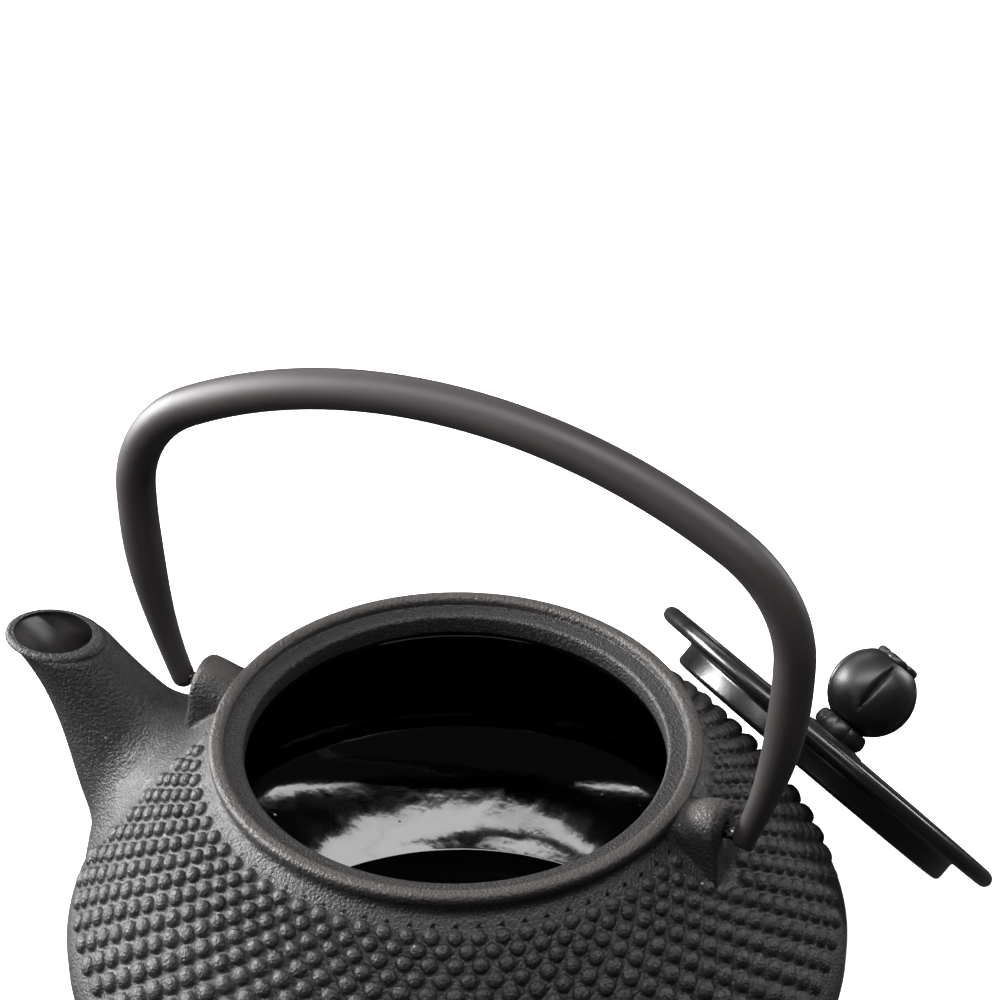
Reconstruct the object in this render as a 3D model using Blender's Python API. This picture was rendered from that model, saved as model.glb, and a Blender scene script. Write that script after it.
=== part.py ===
"""A squat cast-iron teapot, standing open.

The pot is one casting: bowl, shoulder, spout and two ears. A bent steel bail swings
on two pins that drop into blind eyes in the ears. The loose lid, with its bud knob
screwed on from below, leans on the pot's shoulder with its edge on the table.

Z is up and the table is z = 0. The pot's axis is the Z axis and the spout points to -X.
"""

import math

import bmesh
import bpy
from mathutils import Matrix, Vector

MM = 0.001

# Fits between pieces
SEAT_GAP = 0.3 * MM  # between pieces that touch on the real teapot
PIN_CLEARANCE = 0.35 * MM  # round each bail pin in its eye

# Pot, as radii from its axis and heights above the table
POT_HEIGHT = 80 * MM
BELLY_RADIUS = 81.8 * MM
BELLY_HEIGHT = 31 * MM
FOOT_RADIUS = 44 * MM
WALL = 3.8 * MM
FLOOR_THICKNESS = 4.5 * MM

# Fullness of the bowl and shoulder curves, as shares of their rise or run
FOOT_SPREAD = 0.45
FOOT_LIFT = 0.1
BOWL_FULLNESS = 0.55
SHOULDER_FULLNESS = 0.27
SHOULDER_RUN = 0.24
SHOULDER_DROP = 0.205

# Mouth of the pot: an upright collar topped by a bead, with the lid's ledge inside
RIM_RADIUS = 50 * MM
BEAD_WIDTH = 3 * MM
BEAD_HEIGHT = 2.4 * MM
BEAD_OVERHANG = 0.8 * MM
BEAD_ROUNDING = 0.6 * MM
LEDGE_DEPTH = 1.9 * MM
LEDGE_WIDTH = 4 * MM
COLLAR_HEIGHT = 5.4 * MM
COLLAR_FOOT = 2 * MM
NECK_LENGTH = 5.6 * MM

# Spout, in the XZ plane; its mouth is a level oval
SPOUT_OVERHANG = 11.9 * MM  # middle of the mouth, out from the belly
SPOUT_MOUTH_DROP = 3.2 * MM  # mouth below the pot's rim
SPOUT_BORE_HALF_LENGTH = 8.2 * MM
SPOUT_BORE_HALF_WIDTH = 7.2 * MM
SPOUT_LIP_END = 3.1 * MM
SPOUT_LIP_SIDE = 1.6 * MM
SPOUT_ROOT_HALF_WIDTH = 17 * MM
SPOUT_STATIONS = 12

# The spout's upper and lower lines: where each starts inside the pot (out from the rim
# or in from the belly, and below the collar or the belly), and the handles of its curve
SPOUT_UPPER_START = (6 * MM, 14 * MM)
SPOUT_UPPER_LEAVE = (7 * MM, 4 * MM)
SPOUT_UPPER_ARRIVE = (11 * MM, 9.5 * MM)
SPOUT_LOWER_START = (6 * MM, 9 * MM)
SPOUT_LOWER_LEAVE = (19 * MM, 14 * MM)
SPOUT_LOWER_ARRIVE = (19 * MM, 17 * MM)

# Ears that carry the bail, one over the spout and one opposite
PIVOT_DROP = 4.7 * MM  # middle of the eyes, below the pot's rim
EAR_RADIUS = 6.1 * MM
EAR_STANDOFF = 8.4 * MM  # end face, out from the rim
EAR_LENGTH = 22 * MM
EAR_DRAFT = 0.11
EAR_FLARE = 2.4 * MM
EAR_ROUNDING = 1.8 * MM
EAR_EYE_DEPTH = 4.4 * MM

# Bail: three tangent arcs each side of its crown, in the XZ plane
BAIL_RISE = 84.3 * MM
BAIL_END_STANDOFF = 4.6 * MM  # middle of its end, out from the ear's face
BAIL_BULGE = 8.3 * MM  # widest point, out from its end
BAIL_CROWN_ARC = 115 * MM
BAIL_CORNER_ARC = 27 * MM
BAIL_RADIUS = 4.1 * MM
BAIL_END_RADIUS = 2.5 * MM
BAIL_TAPER = 34 * MM
PIN_RADIUS = 1.4 * MM
PIN_SEAT = 1.4 * MM

# Lid, measured from its underside, which rests on the ledge when the pot is closed
LID_CLEARANCE = 0.4 * MM
LID_EDGE = 2.6 * MM
LID_CROWN = 1.3 * MM
LID_ROUNDING = 0.9 * MM
LID_RECESS = 0.4 * MM
SPIGOT_PLAY = 5.7 * MM
SPIGOT_WALL = 3.4 * MM
SPIGOT_DEPTH = 5.3 * MM
SPIGOT_ROUNDING = 0.4 * MM

# How the lid leans: where it stands round the pot, how far it is turned from facing
# straight out, and its slope
LID_BEARING = math.radians(56.3)
LID_TURN = math.radians(2.2)
LID_TILT = math.radians(50.2)
LID_LEAN_GAP = 1.2 * MM

# Knob, measured from the top of the lid
KNOB_RADIUS = 9.9 * MM
KNOB_BASE_RADIUS = 7.9 * MM
KNOB_BASE_HEIGHT = 1.2 * MM
KNOB_COLLAR_RADIUS = 6.4 * MM
KNOB_COLLAR_HEIGHT = 2.4 * MM
KNOB_COLLAR_PETALS = 5
KNOB_COLLAR_SCALLOP = 0.16
KNOB_FLAT_RADIUS = 3.6 * MM
KNOB_CAP_RADIUS = 5.2 * MM
KNOB_CAP_HEIGHT = 1.7 * MM
KNOB_CAP_PETALS = 5
KNOB_CAP_SCALLOP = 0.2
KNOB_CAP_EYE = 1 * MM
PETAL_SIDE = 0.6
PETAL_TOP = 0.86
SCREW_RADIUS = 2 * MM
SCREW_HEAD_RADIUS = 4 * MM
SCREW_HEAD_HEIGHT = 1.5 * MM
SCREW_GRIP = 7 * MM
WASHER_RADIUS = 6 * MM
WASHER_THICKNESS = 0.8 * MM

ROUND_STEPS = 64
TUBE_STEPS = 20
LEAN_STEPS = 12

# Sizes that follow from those above
SPOUT_REACH = BELLY_RADIUS + SPOUT_OVERHANG
SPOUT_MOUTH_HEIGHT = POT_HEIGHT - SPOUT_MOUTH_DROP
SPOUT_MOUTH_HALF_LENGTH = SPOUT_BORE_HALF_LENGTH + SPOUT_LIP_END
SPOUT_MOUTH_HALF_WIDTH = SPOUT_BORE_HALF_WIDTH + SPOUT_LIP_SIDE
PIVOT_HEIGHT = POT_HEIGHT - PIVOT_DROP
EAR_REACH = RIM_RADIUS + EAR_STANDOFF
BAIL_END_HALF_WIDTH = EAR_REACH + BAIL_END_STANDOFF
BAIL_HALF_WIDTH = BAIL_END_HALF_WIDTH + BAIL_BULGE
NECK_RADIUS = RIM_RADIUS - BEAD_WIDTH - LEDGE_WIDTH
LID_RADIUS = RIM_RADIUS - BEAD_WIDTH - LID_CLEARANCE
SPIGOT_RADIUS = NECK_RADIUS - SPIGOT_PLAY


# Outlines: lists of (radius, height) points

def curve(start, start_handle, end_handle, end, count):
    """Points of one Bezier curve, both ends included."""
    points = []
    for step in range(count + 1):
        t = step / count
        weights = ((1 - t) ** 3, 3 * t * (1 - t) ** 2, 3 * t * t * (1 - t), t ** 3)
        corners = (start, start_handle, end_handle, end)
        points.append(tuple(
            sum(weight * corner[axis] for weight, corner in zip(weights, corners))
            for axis in (0, 1)
        ))
    return points


def offset(points, distance):
    """The outline moved sideways, to the right of the way it runs."""
    moved = []
    for index, (x, z) in enumerate(points):
        before = points[max(index - 1, 0)]
        after = points[min(index + 1, len(points) - 1)]
        run = Vector((after[0] - before[0], after[1] - before[1])).normalized()
        moved.append((x + run.y * distance, z - run.x * distance))
    return moved


def pot_skin():
    """The pot's outside from the edge of its foot up to the collar."""
    shoulder_foot = (RIM_RADIUS + COLLAR_FOOT, POT_HEIGHT - COLLAR_HEIGHT)
    rise = shoulder_foot[1] - BELLY_HEIGHT
    belly = (BELLY_RADIUS, BELLY_HEIGHT)
    bowl = curve(
        (FOOT_RADIUS, 0),
        (FOOT_RADIUS + FOOT_SPREAD * (BELLY_RADIUS - FOOT_RADIUS), FOOT_LIFT * BELLY_HEIGHT),
        (BELLY_RADIUS, (1 - BOWL_FULLNESS) * BELLY_HEIGHT),
        belly,
        9,
    )
    shoulder = curve(
        belly,
        (BELLY_RADIUS, BELLY_HEIGHT + SHOULDER_FULLNESS * rise),
        (shoulder_foot[0] + SHOULDER_RUN * rise, shoulder_foot[1] - SHOULDER_DROP * rise),
        shoulder_foot,
        12,
    )
    return bowl + shoulder[1:]


def skin_radius_at(height):
    """Radius of the pot's outside at a height up to the collar, and the collar's foot above it."""
    skin = pot_skin()
    for (low_radius, low), (high_radius, high) in zip(skin, skin[1:]):
        if low <= height <= high:
            share = (height - low) / (high - low)
            return low_radius + share * (high_radius - low_radius)
    return skin[-1][0]


# Meshes

def finished(name, bm, material):
    """Turn a bmesh into an object with outward faces."""
    bmesh.ops.remove_doubles(bm, verts=bm.verts, dist=0.001 * MM)
    bmesh.ops.recalc_face_normals(bm, faces=bm.faces)
    mesh = bpy.data.meshes.new(name)
    bm.to_mesh(mesh)
    bm.free()
    mesh.shade_smooth()
    mesh.set_sharp_from_angle(angle=math.radians(35))
    item = bpy.data.objects.new(name, mesh)
    bpy.context.scene.collection.objects.link(item)
    if material:
        mesh.materials.append(material)
    return item


def turned(name, outline, material=None, closed=False, steps=ROUND_STEPS):
    """Spin an outline round Z. An open outline starts and ends on the axis."""
    bm = bmesh.new()
    verts = [bm.verts.new((radius, 0, height)) for radius, height in outline]
    pairs = list(zip(verts, verts[1:]))
    if closed:
        pairs.append((verts[-1], verts[0]))
    edges = [bm.edges.new(pair) for pair in pairs]
    bmesh.ops.spin(
        bm, geom=verts + edges, cent=(0, 0, 0), axis=(0, 0, 1),
        angle=2 * math.pi, steps=steps, use_merge=True,
    )
    return finished(name, bm, material)


def lofted(name, rings, material=None):
    """Skin a row of equal rings and cap both ends."""
    bm = bmesh.new()
    loops = [[bm.verts.new(point) for point in ring] for ring in rings]
    count = len(rings[0])
    for near, far in zip(loops, loops[1:]):
        for index in range(count):
            after = (index + 1) % count
            bm.faces.new((near[index], near[after], far[after], far[index]))
    bm.faces.new(loops[0])
    bm.faces.new(loops[-1])
    return finished(name, bm, material)


def cylinder(name, radius, length, material=None, steps=TUBE_STEPS):
    """A cylinder along Z with its foot at the origin."""
    return turned(name, [(0, 0), (radius, 0), (radius, length), (0, length)], material, steps=steps)


def cut(item, cutter):
    """Take the cutter's shape out of the item."""
    cutter.hide_render = True
    cutter.display_type = "WIRE"
    boolean = item.modifiers.new(cutter.name, "BOOLEAN")
    boolean.operation = "DIFFERENCE"
    boolean.object = cutter


def paint(name, red, green, blue, roughness, metallic):
    """A material with one plain colour."""
    material = bpy.data.materials.new(name)
    material.use_nodes = True
    shader = material.node_tree.nodes["Principled BSDF"]
    shader.inputs["Base Color"].default_value = (red, green, blue, 1)
    shader.inputs["Roughness"].default_value = roughness
    shader.inputs["Metallic"].default_value = metallic
    material.diffuse_color = (red, green, blue, 1)
    return material


# Pot

def pot_outline():
    """The whole wall of the pot, from the middle of its foot round to the middle of its floor."""
    collar_radius = RIM_RADIUS - BEAD_OVERHANG
    collar_foot = POT_HEIGHT - COLLAR_HEIGHT
    bead_foot = POT_HEIGHT - BEAD_HEIGHT
    ledge = POT_HEIGHT - LEDGE_DEPTH
    bead_inner = RIM_RADIUS - BEAD_WIDTH
    neck_foot = ledge - NECK_LENGTH
    collar = [
        (collar_radius, collar_foot + 0.3 * BEAD_OVERHANG),
        (collar_radius, bead_foot),
        (RIM_RADIUS, bead_foot + BEAD_ROUNDING),
        (RIM_RADIUS, POT_HEIGHT - BEAD_ROUNDING),
        (RIM_RADIUS - BEAD_ROUNDING, POT_HEIGHT),
        (bead_inner + BEAD_ROUNDING, POT_HEIGHT),
        (bead_inner, POT_HEIGHT - BEAD_ROUNDING),
        (bead_inner, ledge),
        (NECK_RADIUS, ledge),
        (NECK_RADIUS, neck_foot),
    ]
    inside = [
        (radius, height)
        for radius, height in reversed(offset(pot_skin(), -WALL))
        if height > FLOOR_THICKNESS and radius > NECK_RADIUS + BEAD_WIDTH
    ]
    floor_radius = FOOT_RADIUS + WALL
    return [(0, 0)] + pot_skin() + collar + inside + [
        (floor_radius, FLOOR_THICKNESS),
        (0, FLOOR_THICKNESS),
    ]


def pot_envelope(name):
    """A solid just larger than the pot, which shapes the foot of what is cast onto it."""
    skin = offset(pot_skin(), SEAT_GAP)
    wall_radius = RIM_RADIUS + SEAT_GAP
    top = POT_HEIGHT + EAR_RADIUS
    return turned(name, [(0, skin[0][1])] + skin + [(wall_radius, skin[-1][1]), (wall_radius, top), (0, top)])


# Spout

def spout_sections():
    """(upper point, lower point, half width) of the spout's sections, from root to mouth."""
    mouth_front = -SPOUT_REACH - SPOUT_MOUTH_HALF_LENGTH
    mouth_back = -SPOUT_REACH + SPOUT_MOUTH_HALF_LENGTH
    shoulder_top = POT_HEIGHT - COLLAR_HEIGHT
    upper_start = (-RIM_RADIUS - SPOUT_UPPER_START[0], shoulder_top - SPOUT_UPPER_START[1])
    lower_start = (-BELLY_RADIUS + SPOUT_LOWER_START[0], BELLY_HEIGHT - SPOUT_LOWER_START[1])
    upper = curve(
        upper_start,
        (upper_start[0] - SPOUT_UPPER_LEAVE[0], upper_start[1] + SPOUT_UPPER_LEAVE[1]),
        (mouth_back + SPOUT_UPPER_ARRIVE[0], SPOUT_MOUTH_HEIGHT - SPOUT_UPPER_ARRIVE[1]),
        (mouth_back, SPOUT_MOUTH_HEIGHT),
        SPOUT_STATIONS,
    )
    lower = curve(
        lower_start,
        (lower_start[0] - SPOUT_LOWER_LEAVE[0], lower_start[1] + SPOUT_LOWER_LEAVE[1]),
        (mouth_front + SPOUT_LOWER_ARRIVE[0], SPOUT_MOUTH_HEIGHT - SPOUT_LOWER_ARRIVE[1]),
        (mouth_front, SPOUT_MOUTH_HEIGHT),
        SPOUT_STATIONS,
    )
    sections = []
    for index, (high, low) in enumerate(zip(upper, lower)):
        flare = (1 - index / SPOUT_STATIONS) ** 2
        width = SPOUT_MOUTH_HALF_WIDTH + flare * (SPOUT_ROOT_HALF_WIDTH - SPOUT_MOUTH_HALF_WIDTH)
        sections.append((Vector((high[0], 0, high[1])), Vector((low[0], 0, low[1])), width))
    return sections


def oval(centre, along, half_width, steps):
    """A ring with one half axis given as a vector in the XZ plane and the other along Y."""
    across = Vector((0, half_width, 0))
    turns = [2 * math.pi * step / steps for step in range(steps)]
    return [centre + along * math.cos(turn) + across * math.sin(turn) for turn in turns]


def spout_solid(name, material):
    rings = [
        oval((high + low) / 2, (high - low) / 2, width, TUBE_STEPS + 4)
        for high, low, width in spout_sections()
    ]
    return lofted(name, rings, material)


def spout_channel(name):
    """The bore, from inside the pot to past the spout's mouth."""
    rings = []
    sections = spout_sections()
    for high, low, _ in sections:
        along = (high - low).normalized() * SPOUT_BORE_HALF_LENGTH
        rings.append(oval((high + low) / 2, along, SPOUT_BORE_HALF_WIDTH, TUBE_STEPS))
    past = Vector((0, 0, 2 * MM))
    rings.append([point + past for point in rings[-1]])
    return lofted(name, rings)


# Ears

def ear_face(height):
    """How far out the ear's end face stands at a height."""
    return EAR_REACH + EAR_DRAFT * (POT_HEIGHT - height)


def ear(name, side, material, envelope):
    """One ear on the -X (side -1) or +X (side 1) side, with its blind eye."""
    foot = POT_HEIGHT - EAR_LENGTH
    outline = [(-EAR_RADIUS - EAR_FLARE, foot)]
    for step in range(13):
        turn = math.pi * step / 12
        outline.append((-EAR_RADIUS * math.cos(turn), PIVOT_HEIGHT + EAR_RADIUS * math.sin(turn)))
    outline.append((EAR_RADIUS + EAR_FLARE, foot))
    inner = [Vector((side * (RIM_RADIUS - BEAD_WIDTH), y, z)) for y, z in outline]
    outer = [Vector((side * ear_face(z), y, z)) for y, z in outline]
    item = lofted(name, [inner, outer], material)
    edges = item.modifiers.new("edges", "BEVEL")
    edges.width = EAR_ROUNDING
    edges.segments = 3
    edges.limit_method = "ANGLE"
    edges.angle_limit = math.radians(50)
    cut(item, envelope)
    eye_end = ear_face(PIVOT_HEIGHT) + EAR_RADIUS
    eye = cylinder(name + "_eye", PIN_RADIUS + PIN_CLEARANCE, EAR_RADIUS + EAR_EYE_DEPTH)
    eye.matrix_world = (
        Matrix.Translation((side * eye_end, 0, PIVOT_HEIGHT))
        @ Matrix.Rotation(-side * math.pi / 2, 4, "Y")
    )
    cut(item, eye)
    return item


# Bail, drawn upright with its pins' axis at the origin

def bail_path():
    """(point, direction, height above the pins) along half the bail, from crown to end."""
    crown_centre = BAIL_RISE - BAIL_CROWN_ARC
    corner_x = BAIL_HALF_WIDTH - BAIL_CORNER_ARC
    spread = math.asin(corner_x / (BAIL_CROWN_ARC - BAIL_CORNER_ARC))
    corner_z = crown_centre + (BAIL_CROWN_ARC - BAIL_CORNER_ARC) * math.cos(spread)
    draw_in = BAIL_HALF_WIDTH - BAIL_END_HALF_WIDTH
    leg_arc = (corner_z ** 2 + draw_in ** 2) / (2 * draw_in)
    leg_turn = math.asin(corner_z / leg_arc)
    arcs = (
        (0, crown_centre, BAIL_CROWN_ARC, 0, spread, 7),
        (corner_x, corner_z, BAIL_CORNER_ARC, spread, math.pi / 2, 7),
        (BAIL_HALF_WIDTH - leg_arc, corner_z, leg_arc, math.pi / 2, math.pi / 2 + leg_turn, 8),
    )
    path = []
    for x, z, radius, first, last, count in arcs:
        for step in range(0 if not path else 1, count + 1):
            turn = first + (last - first) * step / count
            point = Vector((x + radius * math.sin(turn), 0, z + radius * math.cos(turn)))
            path.append((point, Vector((math.cos(turn), 0, -math.sin(turn)))))
    return path


def bail_radius(height):
    """The tube is swaged thinner towards its ends."""
    share = min(max(height / BAIL_TAPER, 0), 1)
    blend = share * share * (3 - 2 * share)
    return BAIL_END_RADIUS + blend * (BAIL_RADIUS - BAIL_END_RADIUS)


def bail_rings():
    rings = []
    path = bail_path()
    stations = [(point, way, bail_radius(point.z)) for point, way in path]
    end, way, _ = stations[-1]
    for step in range(1, 4):
        turn = step * math.pi / 7
        stations.append((end + way * BAIL_END_RADIUS * math.sin(turn), way, BAIL_END_RADIUS * math.cos(turn)))
    for point, way, radius in stations:
        across = Vector((0, 1, 0)).cross(way)
        rings.append(oval(point, across * radius, radius, TUBE_STEPS))
    mirrored = [[Vector((-p.x, p.y, p.z)) for p in ring] for ring in rings[:0:-1]]
    return mirrored + rings


def bail_pin(name, side, material, spare=0):
    """A pin along X: its outer end is in the bail's end, its inner end in the ear's eye."""
    start = BAIL_END_HALF_WIDTH + PIN_SEAT + spare
    length = start - (ear_face(PIVOT_HEIGHT) - EAR_EYE_DEPTH + 2 * SEAT_GAP)
    pin = cylinder(name, PIN_RADIUS + spare, length, material)
    pin.location = (side * start, 0, 0)
    pin.rotation_euler = (0, -side * math.pi / 2, 0)
    return pin


# Lid and knob, drawn level with the lid's underside at z = 0

def lid_outline():
    hole = SCREW_RADIUS + SEAT_GAP
    spigot_inner = SPIGOT_RADIUS - SPIGOT_WALL
    crown = curve(
        (LID_RADIUS - LID_ROUNDING, LID_EDGE),
        (0.66 * LID_RADIUS, LID_EDGE + 0.8 * LID_CROWN),
        (0.33 * LID_RADIUS, LID_EDGE + LID_CROWN),
        (hole, LID_EDGE + LID_CROWN),
        6,
    )
    return [
        (hole, LID_RECESS),
        (spigot_inner - SPIGOT_ROUNDING, LID_RECESS),
        (spigot_inner, LID_RECESS - SPIGOT_ROUNDING),
        (spigot_inner, -SPIGOT_DEPTH),
        (SPIGOT_RADIUS - SPIGOT_ROUNDING, -SPIGOT_DEPTH),
        (SPIGOT_RADIUS, SPIGOT_ROUNDING - SPIGOT_DEPTH),
        (SPIGOT_RADIUS, 0),
        (LID_RADIUS - LID_ROUNDING, 0),
        (LID_RADIUS, LID_ROUNDING),
        (LID_RADIUS, LID_EDGE - LID_ROUNDING),
    ] + crown


def petalled(name, radius, height, petals, depth, hole, material):
    """A flat rosette with scalloped edges and a round hole."""
    bm = bmesh.new()
    steps = 8 * petals
    rings = []
    for level, share in ((0, 1), (PETAL_SIDE * height, 1), (height, PETAL_TOP)):
        ring = []
        for step in range(steps):
            turn = 2 * math.pi * step / steps
            scallop = 1 - depth * (1 - abs(math.cos(petals * turn / 2)))
            reach = radius * share * scallop
            ring.append(bm.verts.new((reach * math.cos(turn), reach * math.sin(turn), level)))
        rings.append(ring)
    for level in (height, 0):
        ring = []
        for step in range(steps):
            turn = 2 * math.pi * step / steps
            ring.append(bm.verts.new((hole * math.cos(turn), hole * math.sin(turn), level)))
        rings.append(ring)
    for near, far in zip(rings, rings[1:] + rings[:1]):
        for index in range(steps):
            after = (index + 1) % steps
            bm.faces.new((near[index], near[after], far[after], far[index]))
    return finished(name, bm, material)


def knob_outline():
    """The bud: a ball with a flat at its foot and a socket for the screw."""
    socket = SCREW_RADIUS + SEAT_GAP
    foot_turn = math.asin(KNOB_FLAT_RADIUS / KNOB_RADIUS)
    cap_turn = math.asin(KNOB_CAP_RADIUS / KNOB_RADIUS)
    ball = []
    for step in range(15):
        turn = foot_turn + (math.pi - foot_turn - cap_turn) * step / 14
        ball.append((KNOB_RADIUS * math.sin(turn), -KNOB_RADIUS * math.cos(turn)))
    foot = ball[0][1]
    top = ball[-1][1]
    return [(0, foot + SCREW_GRIP), (socket, foot + SCREW_GRIP), (socket, foot)] + ball + [(0, top)]


def screw_outline(grip):
    """A round-headed screw with the top of its head at z = 0."""
    return [
        (0, -SCREW_HEAD_HEIGHT),
        (0.7 * SCREW_HEAD_RADIUS, -SCREW_HEAD_HEIGHT),
        (SCREW_HEAD_RADIUS, -0.4 * SCREW_HEAD_HEIGHT),
        (SCREW_HEAD_RADIUS, 0),
        (SCREW_RADIUS, 0),
        (SCREW_RADIUS, grip),
        (0, grip),
    ]


def build():
    for item in list(bpy.data.objects):
        bpy.data.objects.remove(item)

    iron = paint("cast_iron", 0.085, 0.078, 0.076, 0.62, 0.35)
    steel = paint("black_steel", 0.045, 0.042, 0.042, 0.36, 0.6)
    lid_iron = paint("lid_enamel", 0.03, 0.028, 0.03, 0.28, 0.2)
    bronze = paint("knob_black", 0.06, 0.056, 0.056, 0.25, 0.6)
    zinc = paint("screw_steel", 0.42, 0.42, 0.43, 0.35, 0.9)

    # Pot, with the spout and ears that are cast on it
    channel = spout_channel("spout_channel")
    envelope = pot_envelope("pot_envelope")
    pot = turned("pot_body", pot_outline(), iron)
    cut(pot, channel)
    spout = spout_solid("spout", iron)
    cut(spout, envelope)
    cut(spout, channel)
    ear("ear_front", -1, iron, envelope)
    ear("ear_rear", 1, iron, envelope)

    # Bail and its pins, hung from an empty on their axis
    hinge = bpy.data.objects.new("bail_hinge", None)
    bpy.context.scene.collection.objects.link(hinge)
    hinge.location = (0, 0, PIVOT_HEIGHT)
    bail = lofted("bail", bail_rings(), steel)
    bail.parent = hinge
    for label, side in (("front", -1), ("rear", 1)):
        pin = bail_pin("bail_pin_" + label, side, steel)
        pin.parent = hinge
        socket = bail_pin("bail_seat_" + label, side, None, SEAT_GAP)
        socket.parent = hinge
        cut(bail, socket)

    # Lid: its edge rests on the table and its spigot leans on the shoulder
    stand = LID_RADIUS * math.sin(LID_TILT) + SEAT_GAP
    lean = max(
        skin_radius_at(stand + up * math.sin(LID_TILT) - SPIGOT_DEPTH * math.cos(LID_TILT))
        + LID_LEAN_GAP + up * math.cos(LID_TILT) + SPIGOT_DEPTH * math.sin(LID_TILT)
        for up in (SPIGOT_RADIUS * step / LEAN_STEPS for step in range(LEAN_STEPS + 1))
    )
    seat = bpy.data.objects.new("lid_seat", None)
    bpy.context.scene.collection.objects.link(seat)
    seat.matrix_world = (
        Matrix.Rotation(LID_BEARING, 4, "Z")
        @ Matrix.Translation((lean, 0, stand))
        @ Matrix.Rotation(LID_TURN, 4, "Z")
        @ Matrix.Rotation(LID_TILT, 4, "Y")
    )
    lid_top = LID_EDGE + LID_CROWN
    base_level = lid_top + SEAT_GAP
    collar_level = base_level + KNOB_BASE_HEIGHT + SEAT_GAP
    ball_foot = collar_level + KNOB_COLLAR_HEIGHT + SEAT_GAP
    ball_level = ball_foot + math.sqrt(KNOB_RADIUS ** 2 - KNOB_FLAT_RADIUS ** 2)
    cap_level = ball_level + math.sqrt(KNOB_RADIUS ** 2 - KNOB_CAP_RADIUS ** 2) + SEAT_GAP
    head_level = LID_RECESS - 2 * SEAT_GAP - WASHER_THICKNESS
    hole = SCREW_RADIUS + SEAT_GAP
    washer = [
        (hole, 0), (WASHER_RADIUS, 0),
        (WASHER_RADIUS, WASHER_THICKNESS), (hole, WASHER_THICKNESS),
    ]
    base = [
        (hole, 0), (KNOB_BASE_RADIUS, 0), (KNOB_BASE_RADIUS, 0.4 * KNOB_BASE_HEIGHT),
        (0.6 * KNOB_BASE_RADIUS, KNOB_BASE_HEIGHT), (hole, KNOB_BASE_HEIGHT),
    ]
    screw_length = ball_foot - head_level + SCREW_GRIP - SEAT_GAP
    pieces = (
        (turned("lid", lid_outline(), lid_iron, closed=True), 0),
        (turned("knob_base", base, bronze, closed=True, steps=32), base_level),
        (petalled("knob_collar", KNOB_COLLAR_RADIUS, KNOB_COLLAR_HEIGHT, KNOB_COLLAR_PETALS,
                  KNOB_COLLAR_SCALLOP, hole, bronze), collar_level),
        (turned("knob_bud", knob_outline(), bronze, steps=32), ball_level),
        (petalled("knob_cap", KNOB_CAP_RADIUS, KNOB_CAP_HEIGHT, KNOB_CAP_PETALS,
                  KNOB_CAP_SCALLOP, KNOB_CAP_EYE, bronze), cap_level),
        (turned("lid_screw", screw_outline(screw_length), zinc, steps=TUBE_STEPS), head_level),
        (turned("lid_washer", washer, zinc, closed=True, steps=32), head_level + SEAT_GAP),
    )
    for item, level in pieces:
        item.parent = seat
        item.location = (0, 0, level)


build()
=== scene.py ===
"""The finished look of a squat cast-iron teapot that stands open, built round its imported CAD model."""

import math
import random

import bmesh
import bpy
import numpy as np
from mathutils import Matrix, Vector


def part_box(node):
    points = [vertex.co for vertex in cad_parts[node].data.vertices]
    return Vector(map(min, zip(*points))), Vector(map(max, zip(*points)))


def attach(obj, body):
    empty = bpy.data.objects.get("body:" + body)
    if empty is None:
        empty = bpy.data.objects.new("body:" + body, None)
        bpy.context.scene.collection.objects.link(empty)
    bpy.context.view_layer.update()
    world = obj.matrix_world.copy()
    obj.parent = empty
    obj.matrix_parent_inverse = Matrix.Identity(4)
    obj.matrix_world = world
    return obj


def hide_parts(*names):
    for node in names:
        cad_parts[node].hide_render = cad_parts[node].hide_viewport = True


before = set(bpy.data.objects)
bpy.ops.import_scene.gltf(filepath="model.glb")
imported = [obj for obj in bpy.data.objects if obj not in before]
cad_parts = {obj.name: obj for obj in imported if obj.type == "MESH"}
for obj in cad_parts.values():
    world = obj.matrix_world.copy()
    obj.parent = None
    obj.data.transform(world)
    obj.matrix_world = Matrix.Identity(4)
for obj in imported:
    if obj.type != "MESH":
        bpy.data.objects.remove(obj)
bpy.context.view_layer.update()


# ---------------------------------------------------------------------------
# Pot body. One grey-iron casting from a sand mould: bowl, hobnailed shoulder, upright
# collar and beaded mouth. The outside is finished in thin matt black, and the inside
# is fired with glossy black enamel.
# ---------------------------------------------------------------------------

MM = 0.001  # lengths are in metres here, and written in millimetres
pot_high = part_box("pot_body")[1]
POT_HEIGHT = pot_high.z
BELLY_RADIUS = pot_high.x
BELLY_HEIGHT = 31 * MM
FOOT_RADIUS = 44 * MM
RIM_RADIUS = 50 * MM
BEAD_WIDTH = 3 * MM
BEAD_HEIGHT = 2.4 * MM
BEAD_ROUNDING = 1.05 * MM
BEAD_LIP = 0.5 * MM
LEDGE_DEPTH = 1.9 * MM
LEDGE_WIDTH = 4 * MM
LEDGE_CORNER = 0.25 * MM
NECK_LENGTH = 5.6 * MM
NECK_ROUNDING = 0.9 * MM
NECK_SWELL = 1.6 * MM
COLLAR_RADIUS = RIM_RADIUS - 0.8 * MM
COLLAR_FOOT = POT_HEIGHT - 5.4 * MM
COLLAR_SPREAD = 2.8 * MM  # how far the shoulder's top stands out from the collar
WALL = 3.8 * MM
FLOOR_THICKNESS = 4.5 * MM
FLOOR_RADIUS = 53 * MM

# Where the handles of the outline's two curves stand, as shares of their reach or rise
FOOT_HANDLE = (0.45, 0.1)
BELLY_HANDLE_BELOW = 0.45
BELLY_HANDLE_ABOVE = 0.27
COLLAR_HANDLE = (0.24, 0.205)


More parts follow.
